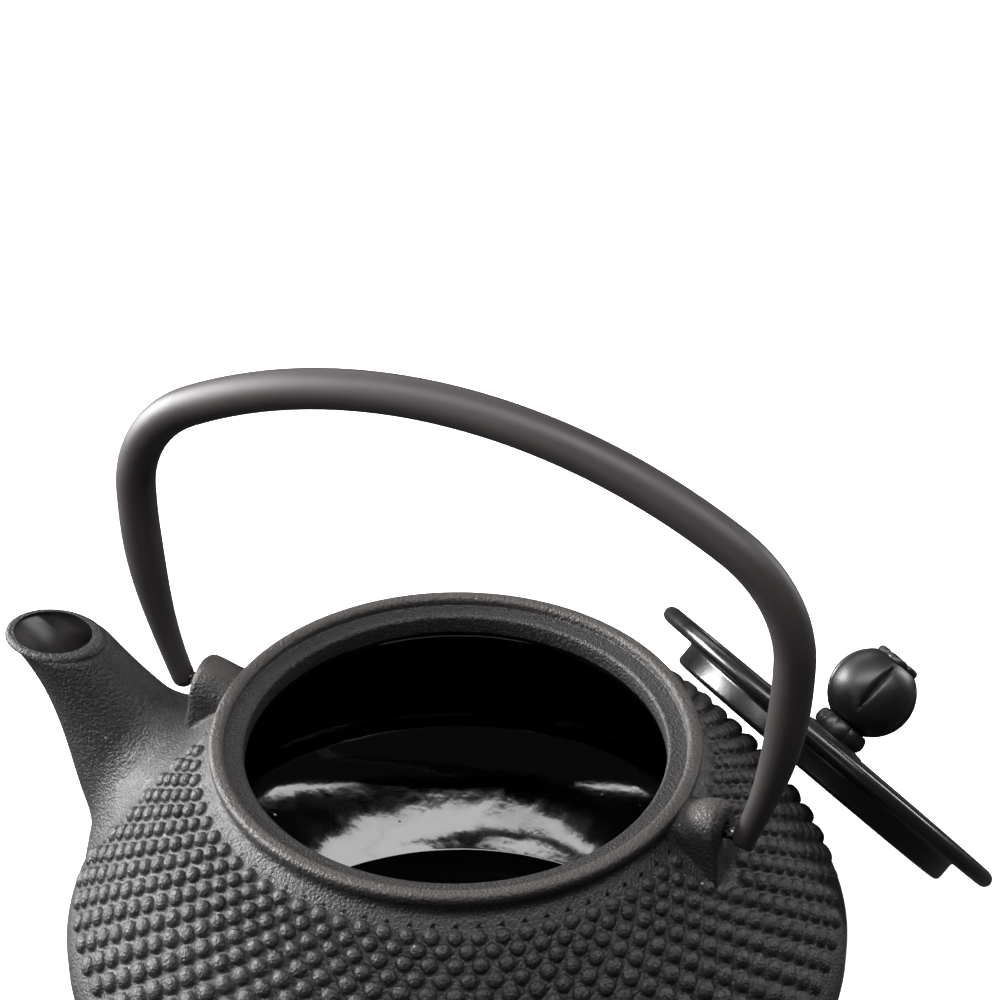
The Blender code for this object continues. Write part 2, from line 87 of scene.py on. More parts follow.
def curve(start, start_handle, end_handle, end, count):
    """Points of one Bezier curve, both ends included."""
    t = np.linspace(0, 1, count + 1)[:, None]
    corners = [np.array(corner, float) for corner in (start, start_handle, end_handle, end)]
    return ((1 - t) ** 3 * corners[0] + 3 * t * (1 - t) ** 2 * corners[1]
            + 3 * t * t * (1 - t) * corners[2] + t ** 3 * corners[3])


def resampled(points, count):
    """The same line with its points spread evenly along it."""
    steps = np.linalg.norm(np.diff(points, axis=0), axis=1)
    along = np.concatenate([[0], np.cumsum(steps)])
    places = np.linspace(0, along[-1], count)
    return np.stack([np.interp(places, along, points[:, axis]) for axis in range(points.shape[1])], 1)


def sides(points):
    """Unit vectors to the right of the way a flat line runs."""
    run = np.gradient(points, axis=0)
    run /= np.linalg.norm(run, axis=1)[:, None]
    return np.stack([run[:, 1], -run[:, 0]], 1)


def arc(centre, radius, first, last, count):
    """Points on an arc in the (radius, height) plane, angles in degrees."""
    turns = np.radians(np.linspace(first, last, count + 1))
    return np.stack([centre[0] + radius * np.cos(turns), centre[1] + radius * np.sin(turns)], 1)


def eased(value, low, high):
    """0 below low, 1 above high, smooth between."""
    share = np.clip((value - low) / (high - low), 0, 1)
    return share * share * (3 - 2 * share)


def new_object(name, verts, faces, sharp=40):
    """An object from points and faces, shaded smooth but for edges sharper than this."""
    mesh = bpy.data.meshes.new(name)
    mesh.from_pydata([tuple(point) for point in verts], [], [tuple(face) for face in faces])
    bm = bmesh.new()
    bm.from_mesh(mesh)
    bmesh.ops.remove_doubles(bm, verts=bm.verts, dist=0.0005 * MM)
    bmesh.ops.recalc_face_normals(bm, faces=bm.faces)
    bm.to_mesh(mesh)
    bm.free()
    mesh.shade_smooth()
    mesh.set_sharp_from_angle(angle=math.radians(sharp))
    item = bpy.data.objects.new(name, mesh)
    bpy.context.scene.collection.objects.link(item)
    return item


def strip(first, second, count):
    """Quads between two closed rows of points whose indices start at first and second."""
    quads = []
    for i in range(count):
        after = (i + 1) % count
        quads.append((first + i, first + after, second + after, second + i))
    return quads


rise = COLLAR_FOOT - BELLY_HEIGHT
bowl = curve(
    (FOOT_RADIUS, 0),
    (FOOT_RADIUS + FOOT_HANDLE[0] * (BELLY_RADIUS - FOOT_RADIUS), FOOT_HANDLE[1] * BELLY_HEIGHT),
    (BELLY_RADIUS, BELLY_HANDLE_BELOW * BELLY_HEIGHT),
    (BELLY_RADIUS, BELLY_HEIGHT),
    60,
)
shoulder = curve(
    (BELLY_RADIUS, BELLY_HEIGHT),
    (BELLY_RADIUS, BELLY_HEIGHT + BELLY_HANDLE_ABOVE * rise),
    (COLLAR_RADIUS + COLLAR_SPREAD + COLLAR_HANDLE[0] * rise, COLLAR_FOOT - COLLAR_HANDLE[1] * rise),
    (COLLAR_RADIUS + COLLAR_SPREAD, COLLAR_FOOT),
    160,
)
skin = resampled(np.concatenate([bowl, shoulder[1:]]), 400)
skin_out = sides(skin)
skin_along = np.concatenate([[0], np.cumsum(np.linalg.norm(np.diff(skin, axis=0), axis=1))])
skin_end = skin_along[-1]

NAILS_ROUND = 72
NAIL_HEIGHT = 1.35 * MM
NAIL_SPREAD = 0.0305  # foot radius of a hobnail, as a share of its distance from the axis
NAIL_PITCH = 0.05  # distance between rings of hobnails, likewise
NAILS_START = 2.2 * MM  # below the collar, along the skin
NAILS_END_HEIGHT = 40 * MM
# The nails stand on a wall that is set back by this share of their height, so that their
# tips reach the true outline. It comes back to the outline over this run below them.
SETBACK = 0.8
SETBACK_RUN = 9 * MM

nails_end = np.interp(NAILS_END_HEIGHT, skin[:, 1], skin_along)
setback = NAIL_HEIGHT * SETBACK * eased(skin_along, nails_end - SETBACK_RUN, nails_end + 1 * MM)
wall_line = skin - skin_out * setback[:, None]


def on_wall(along):
    """(radius, height) of the pot's wall, and the way out from it, at a distance along it."""
    place = np.stack([np.interp(along, skin_along, wall_line[:, axis]) for axis in (0, 1)], -1)
    out = np.stack([np.interp(along, skin_along, skin_out[:, axis]) for axis in (0, 1)], -1)
    return place, out / np.linalg.norm(out, axis=-1, keepdims=True)


# The rings of nails, from the collar down
rings = []
along = skin_end - NAILS_START
while along > nails_end:
    rings.append(along)
    along -= NAIL_PITCH * on_wall(along)[0][0]
ring_places = np.array([rings[0] + NAIL_PITCH * on_wall(rings[0])[0][0]] + rings + [along])
ring_numbers = np.arange(-1, len(rings) + 1)

SPOUT_BEARING = math.pi
# Half the width of the skin left bare round the spout's root, in millimetres: at the rim's
# level, what it gains for each millimetre down, and how far down it goes on gaining
BARE_AT_RIM = 8
BARE_GAIN = 0.55
BARE_GAINS_TO = 26
BARE_FADE = 6 * MM
ROOT_DEPTH = 44 * MM
# The same beside an ear, which narrows below this depth
EAR_BARE = 7.5
EAR_BARE_DEPTH = 11
EAR_BARE_FADE = 2 * MM
FIRST_RINGS = (0.8, 0.95)  # the nails of the first rings under the collar are a little lower


def nail_strength(turn, ring):
    """How far a nail stands out: none on the spout's root and the ears' feet, and less beside them."""
    place = on_wall(rings[ring])[0]
    across = abs(math.remainder(turn - SPOUT_BEARING, 2 * math.pi)) * place[0]
    depth = POT_HEIGHT - place[1]
    spout_half = (BARE_AT_RIM + BARE_GAIN * min(depth / MM, BARE_GAINS_TO)) * MM
    strength = eased(across, spout_half, spout_half + BARE_FADE)
    if depth > ROOT_DEPTH:
        strength = 1
    for bearing in (0, math.pi):
        beside = abs(math.remainder(turn - bearing, 2 * math.pi)) * place[0]
        ear_half = (EAR_BARE - max(depth / MM - EAR_BARE_DEPTH, 0)) * MM
        if ear_half > 0:
            strength *= eased(beside, ear_half, ear_half + EAR_BARE_FADE)
    return strength * (FIRST_RINGS[ring] if ring < len(FIRST_RINGS) else 1)


# Each nail stands in a six-sided cell, and the cells of one ring fit between the next
# ring's. A cell is measured in pitches: round the pot, and down it.
SIDE_STEPS = 3
COLUMNS = NAILS_ROUND * 2 * SIDE_STEPS
HALF = 0.5
pitch_angle = 2 * math.pi / NAILS_ROUND
half_width = pitch_angle / 2
tip = (half_width ** 2 + NAIL_PITCH ** 2) / (2 * NAIL_PITCH) / NAIL_PITCH
flank = (NAIL_PITCH ** 2 - half_width ** 2) / (2 * NAIL_PITCH) / NAIL_PITCH
corners = [(HALF, flank), (0, tip), (-HALF, flank), (-HALF, -flank), (0, -tip), (HALF, -flank)]
cell = []
for (u0, v0), (u1, v1) in zip(corners, corners[1:] + corners[:1]):
    steps = 1 if u0 == u1 else SIDE_STEPS
    cell += [(u0 + (u1 - u0) * k / steps, v0 + (v1 - v0) * k / steps) for k in range(steps)]

verts = []
faces = []


def pot_point(turn, ring_place, height=0.0):
    """A point over the pot's wall, by its bearing, its place among the rings and its height."""
    place, out = on_wall(np.interp(ring_place, ring_numbers, ring_places))
    radius, level = place + out * height
    return (radius * math.cos(turn), radius * math.sin(turn), level)


# Shares of a nail's foot radius and of its height, row by row from its foot up
NAIL_ROWS = ((1.0, 0.0), (0.93, 0.34), (0.72, 0.72), (0.4, 0.94))
# No two nails of a hand-pressed mould are quite alike: height, spread, and place in the cell
HEIGHT_VARIES = (0.9, 1.06)
SPREAD_VARIES = (0.96, 1.04)
SHIFT_ROUND = 0.02
SHIFT_DOWN = 0.03

random.seed(7)
for ring in range(len(rings)):
    for nail in range(NAILS_ROUND):
        centre_u = nail + HALF * (ring % 2)
        strength = nail_strength(centre_u * pitch_angle, ring) * random.uniform(*HEIGHT_VARIES)
        spread = NAIL_SPREAD * random.uniform(*SPREAD_VARIES)
        start = len(verts)
        for u, v in cell:
            verts.append(pot_point((centre_u + u) * pitch_angle, ring + v))
        shift_u = random.uniform(-SHIFT_ROUND, SHIFT_ROUND)
        shift_v = random.uniform(-SHIFT_DOWN, SHIFT_DOWN)
        for share, lift in NAIL_ROWS:
            for u, v in cell:
                reach = math.hypot(u * pitch_angle, v * NAIL_PITCH)
                scale = share * spread / reach
                verts.append(pot_point(
                    (centre_u + shift_u + u * scale) * pitch_angle, ring + shift_v + v * scale,
                    lift * strength * NAIL_HEIGHT,
                ))
        for row in range(len(NAIL_ROWS)):
            faces += strip(start + row * len(cell), start + (row + 1) * len(cell), len(cell))
        top = len(verts)
        top_turn = (centre_u + shift_u) * pitch_angle
        verts.append(pot_point(top_turn, ring + shift_v, strength * NAIL_HEIGHT))
        last = start + len(NAIL_ROWS) * len(cell)
        faces += [(last + i, last + (i + 1) % len(cell), top) for i in range(len(cell))]


def zigzag(ring, side):
    """The outer edge of the first (side -1) or last (side 1) ring of cells."""
    row = []
    for column in range(COLUMNS):
        u = column / (2 * SIDE_STEPS) - HALF * (ring % 2)
        beside = abs(u - round(u))
        edge = ring + side * (tip + (flank - tip) * beside / HALF)
        row.append(pot_point(column / COLUMNS * 2 * math.pi, edge))
    return row


def round_row(radius, height):
    """A level ring of points with as many columns as the nails' cells have."""
    turns = [2 * math.pi * column / COLUMNS for column in range(COLUMNS)]
    return [(radius * math.cos(turn), radius * math.sin(turn), height) for turn in turns]


bead_inner = RIM_RADIUS - BEAD_WIDTH
bead_under = POT_HEIGHT - BEAD_HEIGHT
neck_radius = bead_inner - LEDGE_WIDTH
ledge = POT_HEIGHT - LEDGE_DEPTH
neck_foot = ledge - NECK_LENGTH
above_nails = np.interp(-1.3, ring_numbers, ring_places)
below_nails = np.interp(len(rings) - 1 + 1.25, ring_numbers, ring_places)
collar_fillet = curve(
    on_wall(min(above_nails, skin_end - 0.2 * MM))[0],
    (COLLAR_RADIUS + 0.9 * MM, COLLAR_FOOT + 0.3 * MM),
    (COLLAR_RADIUS, COLLAR_FOOT + 0.7 * MM), (COLLAR_RADIUS, COLLAR_FOOT + 1.6 * MM), 5,
)
mouth_line = np.concatenate([
    collar_fillet,
    [(COLLAR_RADIUS, bead_under - 0.3 * MM), (COLLAR_RADIUS + 0.15 * MM, bead_under - 0.05 * MM)],
    arc((RIM_RADIUS - BEAD_LIP, bead_under + BEAD_LIP), BEAD_LIP, -70, 0, 3),
    arc((RIM_RADIUS - BEAD_ROUNDING, POT_HEIGHT - BEAD_ROUNDING), BEAD_ROUNDING, 0, 90, 5),
    arc((bead_inner + BEAD_ROUNDING, POT_HEIGHT - BEAD_ROUNDING), BEAD_ROUNDING, 90, 175, 5),
    arc((bead_inner - LEDGE_CORNER, ledge + LEDGE_CORNER), LEDGE_CORNER, 0, -85, 2),
    arc((neck_radius + NECK_ROUNDING, ledge - NECK_ROUNDING), NECK_ROUNDING, 90, 175, 4),
])

# The inside follows the outside at the wall's thickness as far down as the knuckle, which
# turns it into the flat floor
KNUCKLE_TOP = 24 * MM
inside = (skin - skin_out * WALL)[::-1]
in_bowl = (inside[:, 1] > KNUCKLE_TOP) & (inside[:, 1] < neck_foot - 3 * MM)
inside = inside[in_bowl & (inside[:, 0] > neck_radius + 4 * MM)]
downwards = (inside[-1] - inside[-2]) / np.linalg.norm(inside[-1] - inside[-2])
knuckle = curve(
    inside[-1], inside[-1] + downwards * 8 * MM, (FLOOR_RADIUS + 8 * MM, FLOOR_THICKNESS + 6 * MM),
    (FLOOR_RADIUS + 0.6 * MM, FLOOR_THICKNESS + 0.45 * MM), 13,
)
enamel_line = np.concatenate([
    [(neck_radius, neck_foot + NECK_SWELL)],
    arc((neck_radius + NECK_SWELL, neck_foot + 1.0 * MM), NECK_SWELL, 185, 240, 3),
    resampled(inside, 14),
    knuckle[1:],
    [(FLOOR_RADIUS - 0.1 * MM, FLOOR_THICKNESS), (FLOOR_RADIUS - 1.5 * MM, FLOOR_THICKNESS)],
    [(20 * MM, FLOOR_THICKNESS - 0.2 * MM), (1 * MM, FLOOR_THICKNESS - 0.3 * MM)],
])
foot_line = np.concatenate([
    on_wall(np.linspace(below_nails, 1.2 * MM, 15))[0],
    [(FOOT_RADIUS - 1 * MM, 0.0), (FOOT_RADIUS - 4 * MM, 0.6 * MM)],
    [(20 * MM, 1.2 * MM), (1 * MM, 1.2 * MM)],
])


def add_rows(rows):
    """Skins rows of points into the pot, and gives the index where the last row starts."""
    first = len(verts)
    for row in rows:
        verts.extend(row)
    for number in range(len(rows) - 1):
        faces.extend(strip(first + number * COLUMNS, first + (number + 1) * COLUMNS, COLUMNS))
    return first + (len(rows) - 1) * COLUMNS


add_rows([zigzag(0, -1)] + [round_row(*place) for place in mouth_line])
end = add_rows([round_row(*place) for place in np.concatenate([mouth_line[-1:], enamel_line])])
faces.append(tuple(end + i for i in range(COLUMNS)))
end = add_rows([zigzag(len(rings) - 1, 1)] + [round_row(*place) for place in foot_line])
faces.append(tuple(end + i for i in range(COLUMNS)))

# The bore of the spout runs on through the pot's wall
BORE_HALF_LENGTH = 8.2 * MM
BORE_HALF_WIDTH = 7.2 * MM
BORE_SPARE = 0.03 * MM  # how much wider the cut in the pot's wall is than the spout's bore
MOUTH_HALF_LENGTH = 11.3 * MM
MOUTH_HALF_WIDTH = 8.8 * MM
ROOT_HALF_WIDTH = 17 * MM
SPOUT_COLUMNS = 48
SPOUT_STATIONS = 48
CUT_STATIONS = range(0, 23, 2)
spout_low, spout_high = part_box("spout")
MOUTH_HEIGHT = spout_high.z
mouth_front = spout_low.x
mouth_back = mouth_front + 2 * MOUTH_HALF_LENGTH
upper_line = curve(
    (-56 * MM, 60.6 * MM), (-63 * MM, 64.6 * MM),
    (mouth_back + 11 * MM, MOUTH_HEIGHT - 9.5 * MM), (mouth_back, MOUTH_HEIGHT), SPOUT_STATIONS,
)
lower_line = curve(
    (6 * MM - BELLY_RADIUS, BELLY_HEIGHT - 9 * MM), (-13 * MM - BELLY_RADIUS, BELLY_HEIGHT + 5 * MM),
    (mouth_front + 19 * MM, MOUTH_HEIGHT - 17 * MM), (mouth_front, MOUTH_HEIGHT), SPOUT_STATIONS,
)
spout_turns = np.linspace(0, 2 * math.pi, SPOUT_COLUMNS, endpoint=False)


def oval(centre, along, half_width):
    """A ring of points with one half axis given in the XZ plane and the other along Y."""
    ring = np.zeros((SPOUT_COLUMNS, 3))
    ring[:, 0] = centre[0] + along[0] * np.cos(spout_turns)
    ring[:, 2] = centre[1] + along[1] * np.cos(spout_turns)
    ring[:, 1] = half_width * np.sin(spout_turns)
    return ring


def bore_ring(station, spare=0.0):
    """The bore's oval at one station of the spout, counted from its root."""
    along = upper_line[station] - lower_line[station]
    along = along / np.linalg.norm(along) * (BORE_HALF_LENGTH + spare)
    return oval((upper_line[station] + lower_line[station]) / 2, along, BORE_HALF_WIDTH + spare)


def joined_rows(rows, first_cap=False, last_cap=False):
    """Verts and faces of closed rows of points, skinned in order."""
    count = len(rows[0])
    points = [tuple(point) for row in rows for point in row]
    quads = []
    for number in range(len(rows) - 1):
        quads += strip(number * count, (number + 1) * count, count)
    if first_cap:
        quads.append(tuple(range(count)))
    if last_cap:
        quads.append(tuple((len(rows) - 1) * count + i for i in range(count)))
    return points, quads


pot = new_object("pot_casting", verts, faces, sharp=75)
cut_rows = [bore_ring(station, BORE_SPARE) for station in CUT_STATIONS]
cutter = new_object("bore_cutter", *joined_rows(cut_rows, True, True))


def linear(hexes):
    """An sRGB colour such as 3a3635 as linear values."""
    levels = [int(hexes[i:i + 2], 16) / 255 for i in (0, 2, 4)]
    return tuple(v / 12.92 if v <= 0.04045 else ((v + 0.055) / 1.055) ** 2.4 for v in levels) + (1,)


def add(tree, kind, inputs=None, **settings):
    """One shader node with its settings. A socket given as an input is linked, the rest are values."""
    node = tree.nodes.new("ShaderNode" + kind)
    for name, value in settings.items():
        setattr(node, name, value)
    for key, value in (inputs or {}).items():
        if isinstance(value, bpy.types.NodeSocket):
            tree.links.new(value, node.inputs[key])
        else:
            node.inputs[key].default_value = value
    return node


def new_material(name, ior=1.5, metallic=0.0):
    """A material with a bare Principled shader, its node tree, shader and place on the object."""
    material = bpy.data.materials.new(name)
    material.use_nodes = True
    tree = material.node_tree
    shader = tree.nodes["Principled BSDF"]
    shader.inputs["Metallic"].default_value = metallic
    if not metallic:
        shader.inputs["IOR"].default_value = ior
    return material, tree, shader, add(tree, "TexCoord").outputs["Object"]


# Sand-cast iron under thin matt black: the mould's grain stays as a fine rough texture,
# with shallow waves, and a few pale specks where single grains stand proud. The bead's top
# is painted paler: a painted highlight where the light catches it, with a little rubbed wear.
# Foundry sand is 0.2 to 0.3 mm: it is drawn coarser, so it shows.
SAND_GRAIN = 0.6 * MM
SAND_DEPTH = 0.42 * MM
SKIN_WAVE = 1.9 * MM
SKIN_WAVE_DEPTH = 0.3 * MM
SKIN_CLOUD = 12 * MM
SPECK_SPACING = 3.2 * MM
PALE_RIM_FROM = 1.5 * MM  # below the rim
PALE_RIM_FULLY = 0.2 * MM
cast_iron, tree, shader, place = new_material("sand_cast_iron_matt_black", ior=1.45)
grain = add(tree, "TexNoise", {"Vector": place, "Scale": 1 / SAND_GRAIN, "Detail": 2.0,
                               "Roughness": 0.55})
lumps = add(tree, "TexNoise", {"Vector": place, "Scale": 1 / SKIN_WAVE, "Detail": 3.0,
                               "Roughness": 0.55})
clouds = add(tree, "TexNoise", {"Vector": place, "Scale": 1 / SKIN_CLOUD, "Detail": 4.0,
                                "Roughness": 0.6})
specks = add(tree, "TexVoronoi", {"Vector": place, "Scale": 1 / SPECK_SPACING})
near = add(tree, "MapRange", {"Value": specks.outputs["Distance"], "From Min": 0.11, "From Max": 0.05})
chosen = add(tree, "SeparateColor", {"Color": specks.outputs["Color"]})
rare = add(tree, "MapRange", {"Value": chosen.outputs["Red"], "From Min": 0.9, "From Max": 0.93})
speck = add(tree, "Math", {0: near.outputs["Result"], 1: rare.outputs["Result"]}, operation="MULTIPLY")
tone = add(tree, "Mix", {0: clouds.outputs["Fac"], 6: linear("1d1b1a"), 7: linear("2c2928")},
           data_type="RGBA")
grit = add(tree, "MapRange", {"Value": grain.outputs["Fac"], "From Min": 0.35, "From Max": 0.7})
gritty = add(tree, "Mix", {0: grit.outputs["Result"], 6: linear("151312"), 7: tone.outputs[2]},
             data_type="RGBA")
colour = add(tree, "Mix", {0: speck.outputs[0], 6: gritty.outputs[2], 7: linear("8d8683")},
             data_type="RGBA")
level = add(tree, "SeparateXYZ", {"Vector": place})
# The bead's top is mixed paler: a painted highlight where the light catches it, and a little rubbed wear.
rim_sheen_and_wear = add(tree, "MapRange", {"Value": level.outputs["Z"], "From Min": POT_HEIGHT - PALE_RIM_FROM,
                                "From Max": POT_HEIGHT - PALE_RIM_FULLY, "To Max": 0.4})
worn = add(tree, "Mix", {0: rim_sheen_and_wear.outputs["Result"], 6: colour.outputs[2], 7: linear("4f4a48")},
           data_type="RGBA")
tree.links.new(worn.outputs[2], shader.inputs["Base Color"])
dull = add(tree, "MapRange", {"Value": lumps.outputs["Fac"], "From Min": 0.3, "From Max": 0.7,
                              "To Min": 0.42, "To Max": 0.58})
tree.links.new(dull.outputs["Result"], shader.inputs["Roughness"])
waves = add(tree, "Bump", {"Height": lumps.outputs["Fac"], "Strength": 0.4, "Distance": SKIN_WAVE_DEPTH})
sand = add(tree, "Bump", {"Height": grain.outputs["Fac"], "Strength": 1.0, "Distance": SAND_DEPTH,
                          "Normal": waves.outputs["Normal"]})
tree.links.new(sand.outputs["Normal"], shader.inputs["Normal"])

# Vitreous enamel fired on the casting: black glass, mirror bright, which flows a little
# before it sets, so reflections in it bend, and it shows a few pinholes.
ENAMEL_FLOW = 16 * MM
ENAMEL_FLOW_DEPTH = 0.9 * MM
ENAMEL_PEEL = 2.2 * MM
ENAMEL_PEEL_DEPTH = 0.05 * MM
PINHOLE_SPACING = 5 * MM
PINHOLE_DEPTH = 0.06 * MM
enamel, tree, shader, place = new_material("black_vitreous_enamel", ior=1.55)
flow = add(tree, "TexNoise", {"Vector": place, "Scale": 1 / ENAMEL_FLOW, "Detail": 2.0, "Roughness": 0.5})
peel = add(tree, "TexNoise", {"Vector": place, "Scale": 1 / ENAMEL_PEEL, "Detail": 2.0, "Roughness": 0.5})
pinholes = add(tree, "TexVoronoi", {"Vector": place, "Scale": 1 / PINHOLE_SPACING})
hole = add(tree, "MapRange", {"Value": pinholes.outputs["Distance"], "From Min": 0.03, "From Max": 0.09})
depth = add(tree, "Mix", {0: flow.outputs["Fac"], 6: linear("040404"), 7: linear("0a0a0b")},
            data_type="RGBA")
tree.links.new(depth.outputs[2], shader.inputs["Base Color"])
gloss = add(tree, "MapRange", {"Value": peel.outputs["Fac"], "To Min": 0.04, "To Max": 0.1})
tree.links.new(gloss.outputs["Result"], shader.inputs["Roughness"])
flowing = add(tree, "Bump", {"Height": flow.outputs["Fac"], "Strength": 0.2,
                             "Distance": ENAMEL_FLOW_DEPTH})
peeled = add(tree, "Bump", {"Height": peel.outputs["Fac"], "Strength": 0.25,
                            "Distance": ENAMEL_PEEL_DEPTH, "Normal": flowing.outputs["Normal"]})
pricked = add(tree, "Bump", {"Height": hole.outputs["Result"], "Strength": 0.3,
                             "Distance": PINHOLE_DEPTH, "Normal": peeled.outputs["Normal"]})
tree.links.new(pricked.outputs["Normal"], shader.inputs["Normal"])

pot.data.materials.append(cast_iron)
pot.data.materials.append(enamel)
enamel_edge = neck_foot + 1.7 * MM
for face in pot.data.polygons:
    middle = face.center
    inner = math.hypot(middle.x, middle.y) < np.interp(middle.z, skin[:, 1], skin[:, 0]) - 0.6 * WALL
    if inner and FLOOR_THICKNESS - 1 * MM < middle.z < enamel_edge:
        face.material_index = 1
boolean = pot.modifiers.new("bore", "BOOLEAN")
boolean.operation = "DIFFERENCE"
boolean.solver = "EXACT"
boolean.object = cutter


def applied(item):
    """The item with its modifiers made part of its mesh."""
    graph = bpy.context.evaluated_depsgraph_get()
    mesh = bpy.data.meshes.new_from_object(item.evaluated_get(graph))
    item.modifiers.clear()
    item.data = mesh
    return item


applied(pot)
bpy.data.objects.remove(cutter)
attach(pot, "pot")
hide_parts("pot_body")


# ---------------------------------------------------------------------------
# Spout. Cast in one with the pot: it swells out of the shoulder in a broad fillet with
# no nails on it, narrows upwards and ends in a level, rounded lip.
# ---------------------------------------------------------------------------

root_line = resampled(np.concatenate([
    wall_line[skin_along < skin_end - 0.4 * MM], collar_fillet[1:],
    [(COLLAR_RADIUS, POT_HEIGHT + 15 * MM)],
]), 3000)
root_out = sides(root_line)


def against_pot(points):
    """How far each point stands out from the pot's wall, its nearest point there, and the way out."""
    points = np.asarray(points, float)
    reach = np.hypot(points[:, 0], points[:, 1])
    flat = np.stack([reach, points[:, 2]], 1)
    index = np.array([np.argmin(((root_line - point) ** 2).sum(1)) for point in flat])
    way = points[:, :2] / reach[:, None]
    near = root_line[index]
    out = root_out[index]
    height = ((flat - near) * out).sum(1)
    nearest = np.concatenate([way * near[:, :1], near[:, 1:]], 1)
    normal = np.concatenate([way * out[:, :1], out[:, 1:]], 1)
    return height, nearest, normal


FILLET_PULL = 0.62  # how far a fillet's handles reach towards the corner it rounds
FILLET_SUNK = 0.5 * MM  # how far its edge goes under the pot's wall


def rooted(rows, leave, spread, fillet_rows=9, kept_rows=30):
    """Rows of a boss, from its tip inwards, with a fillet that runs out on the pot's wall.

    The fillet starts this far (leave) before each line meets the wall and ends this far
    (spread) past it.
    """
    columns = np.asarray(rows, float).transpose(1, 0, 2)
    meets = []
    for column in columns:
        line = resampled(column, 200)
        height = against_pot(line)[0]
        crossing = np.nonzero((height[:-1] > 0) & (height[1:] <= 0))[0]
        meets.append((line, crossing[0] if len(crossing) else len(line) - 2))
    middle = np.mean([line[crossing] for line, crossing in meets], axis=0)
    shaped = []
    for line, crossing in meets:
        corner = line[crossing]
        steps = np.linalg.norm(np.diff(line[:crossing + 1], axis=0), axis=1)
        back = np.concatenate([[0], np.cumsum(steps)])
        keep_to = max(back[-1] - leave, 0.3 * back[-1])
        places = np.linspace(0, keep_to, kept_rows)
        kept = np.stack([np.interp(places, back, line[:crossing + 1, axis]) for axis in range(3)], 1)
        normal = against_pot([corner])[2]
        away = corner - middle
        away -= away.dot(normal[0]) * normal[0]
        away /= np.linalg.norm(away)
        past = corner + away * spread
        past[2] = min(past[2], POT_HEIGHT - 1.3 * MM)
        foot, normal = against_pot([past])[1:]
        bend = curve(
            kept[-1], kept[-1] + (corner - kept[-1]) * FILLET_PULL,
            foot[0] + (corner - foot[0]) * FILLET_PULL, foot[0], fillet_rows,
        )
        sunk = foot[0] - normal[0] * FILLET_SUNK
        shaped.append(np.concatenate([kept, bend[1:], [sunk]]))
    return list(np.array(shaped).transpose(1, 0, 2))


# Iron smoothed inside the mouth by the core and by tea: dark, satin, faintly streaked
TEA_STREAK = 5 * MM
TEA_STREAK_DEPTH = 0.5 * MM
smoothed, tree, shader, place = new_material("smoothed_cast_iron", ior=1.5)
stain = add(tree, "TexNoise", {"Vector": place, "Scale": 1 / TEA_STREAK, "Detail": 3.0, "Roughness": 0.5})
tone = add(tree, "Mix", {0: stain.outputs["Fac"], 6: linear("151313"), 7: linear("353131")},
           data_type="RGBA")
tree.links.new(tone.outputs[2], shader.inputs["Base Color"])
sheen = add(tree, "MapRange", {"Value": stain.outputs["Fac"], "To Min": 0.3, "To Max": 0.5})
tree.links.new(sheen.outputs["Result"], shader.inputs["Roughness"])
ripple = add(tree, "Bump", {"Height": stain.outputs["Fac"], "Strength": 0.4, "Distance": TEA_STREAK_DEPTH})
tree.links.new(ripple.outputs["Normal"], shader.inputs["Normal"])

LIP_ROUNDING = 1.1 * MM
MOUTH_SHIFT = -0.6 * MM  # the opening sits towards the tip, so the lip is thicker at the back
MOUTH_FLARE = 0.5 * MM
mouth_middle = (mouth_front + mouth_back) / 2
lip = []
for turn in np.radians(np.linspace(0, 90, 6)):
    shrink = LIP_ROUNDING * (1 - math.cos(turn))
    drop = LIP_ROUNDING * (1 - math.sin(turn))
    lip.append(oval(
        (mouth_middle, MOUTH_HEIGHT - drop), (MOUTH_HALF_LENGTH - shrink, 0), MOUTH_HALF_WIDTH - shrink,
    ))
lip = lip[::-1]
inner_lip = []
for turn in np.radians(np.linspace(90, 0, 5)):
    grow = LIP_ROUNDING * 0.8 * (1 - math.cos(turn))
    drop = LIP_ROUNDING * 0.8 * (1 - math.sin(turn))
    inner_lip.append(oval(
        (mouth_middle + MOUTH_SHIFT, MOUTH_HEIGHT - drop),
        (BORE_HALF_LENGTH + MOUTH_FLARE + LIP_ROUNDING * 0.8 - grow, 0),
        BORE_HALF_WIDTH + LIP_ROUNDING * 0.8 - grow,
    ))
outside = [lip[-1]]
for station in range(SPOUT_STATIONS - 2, -1, -1):
    high, low = upper_line[station], lower_line[station]
    flare = (1 - station / SPOUT_STATIONS) ** 2
    width = MOUTH_HALF_WIDTH + flare * (ROOT_HALF_WIDTH - MOUTH_HALF_WIDTH)
    outside.append(oval((high + low) / 2, (high - low) / 2, width))
outside = rooted(outside, leave=9 * MM, spread=11 * MM)
bore_rows = [bore_ring(station) for station in range(SPOUT_STATIONS - 4, 18, -2)]
spout = new_object("spout_casting", *joined_rows(
    bore_rows[::-1] + inner_lip[::-1] + lip[:-1] + outside + [bore_rows[-1]]), sharp=60)
spout.data.materials.append(cast_iron)
spout.data.materials.append(smoothed)
for face in spout.data.polygons[:(len(bore_rows) + len(inner_lip) - 3) * SPOUT_COLUMNS]:
    face.material_index = 1
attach(spout, "pot")
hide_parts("spout")


# ---------------------------------------------------------------------------
# Ears. Two lugs cast on the collar, one over the spout and one opposite. Each has a
# rounded top, a flat end face and a blind drilled eye for the bail's pin.
# ---------------------------------------------------------------------------

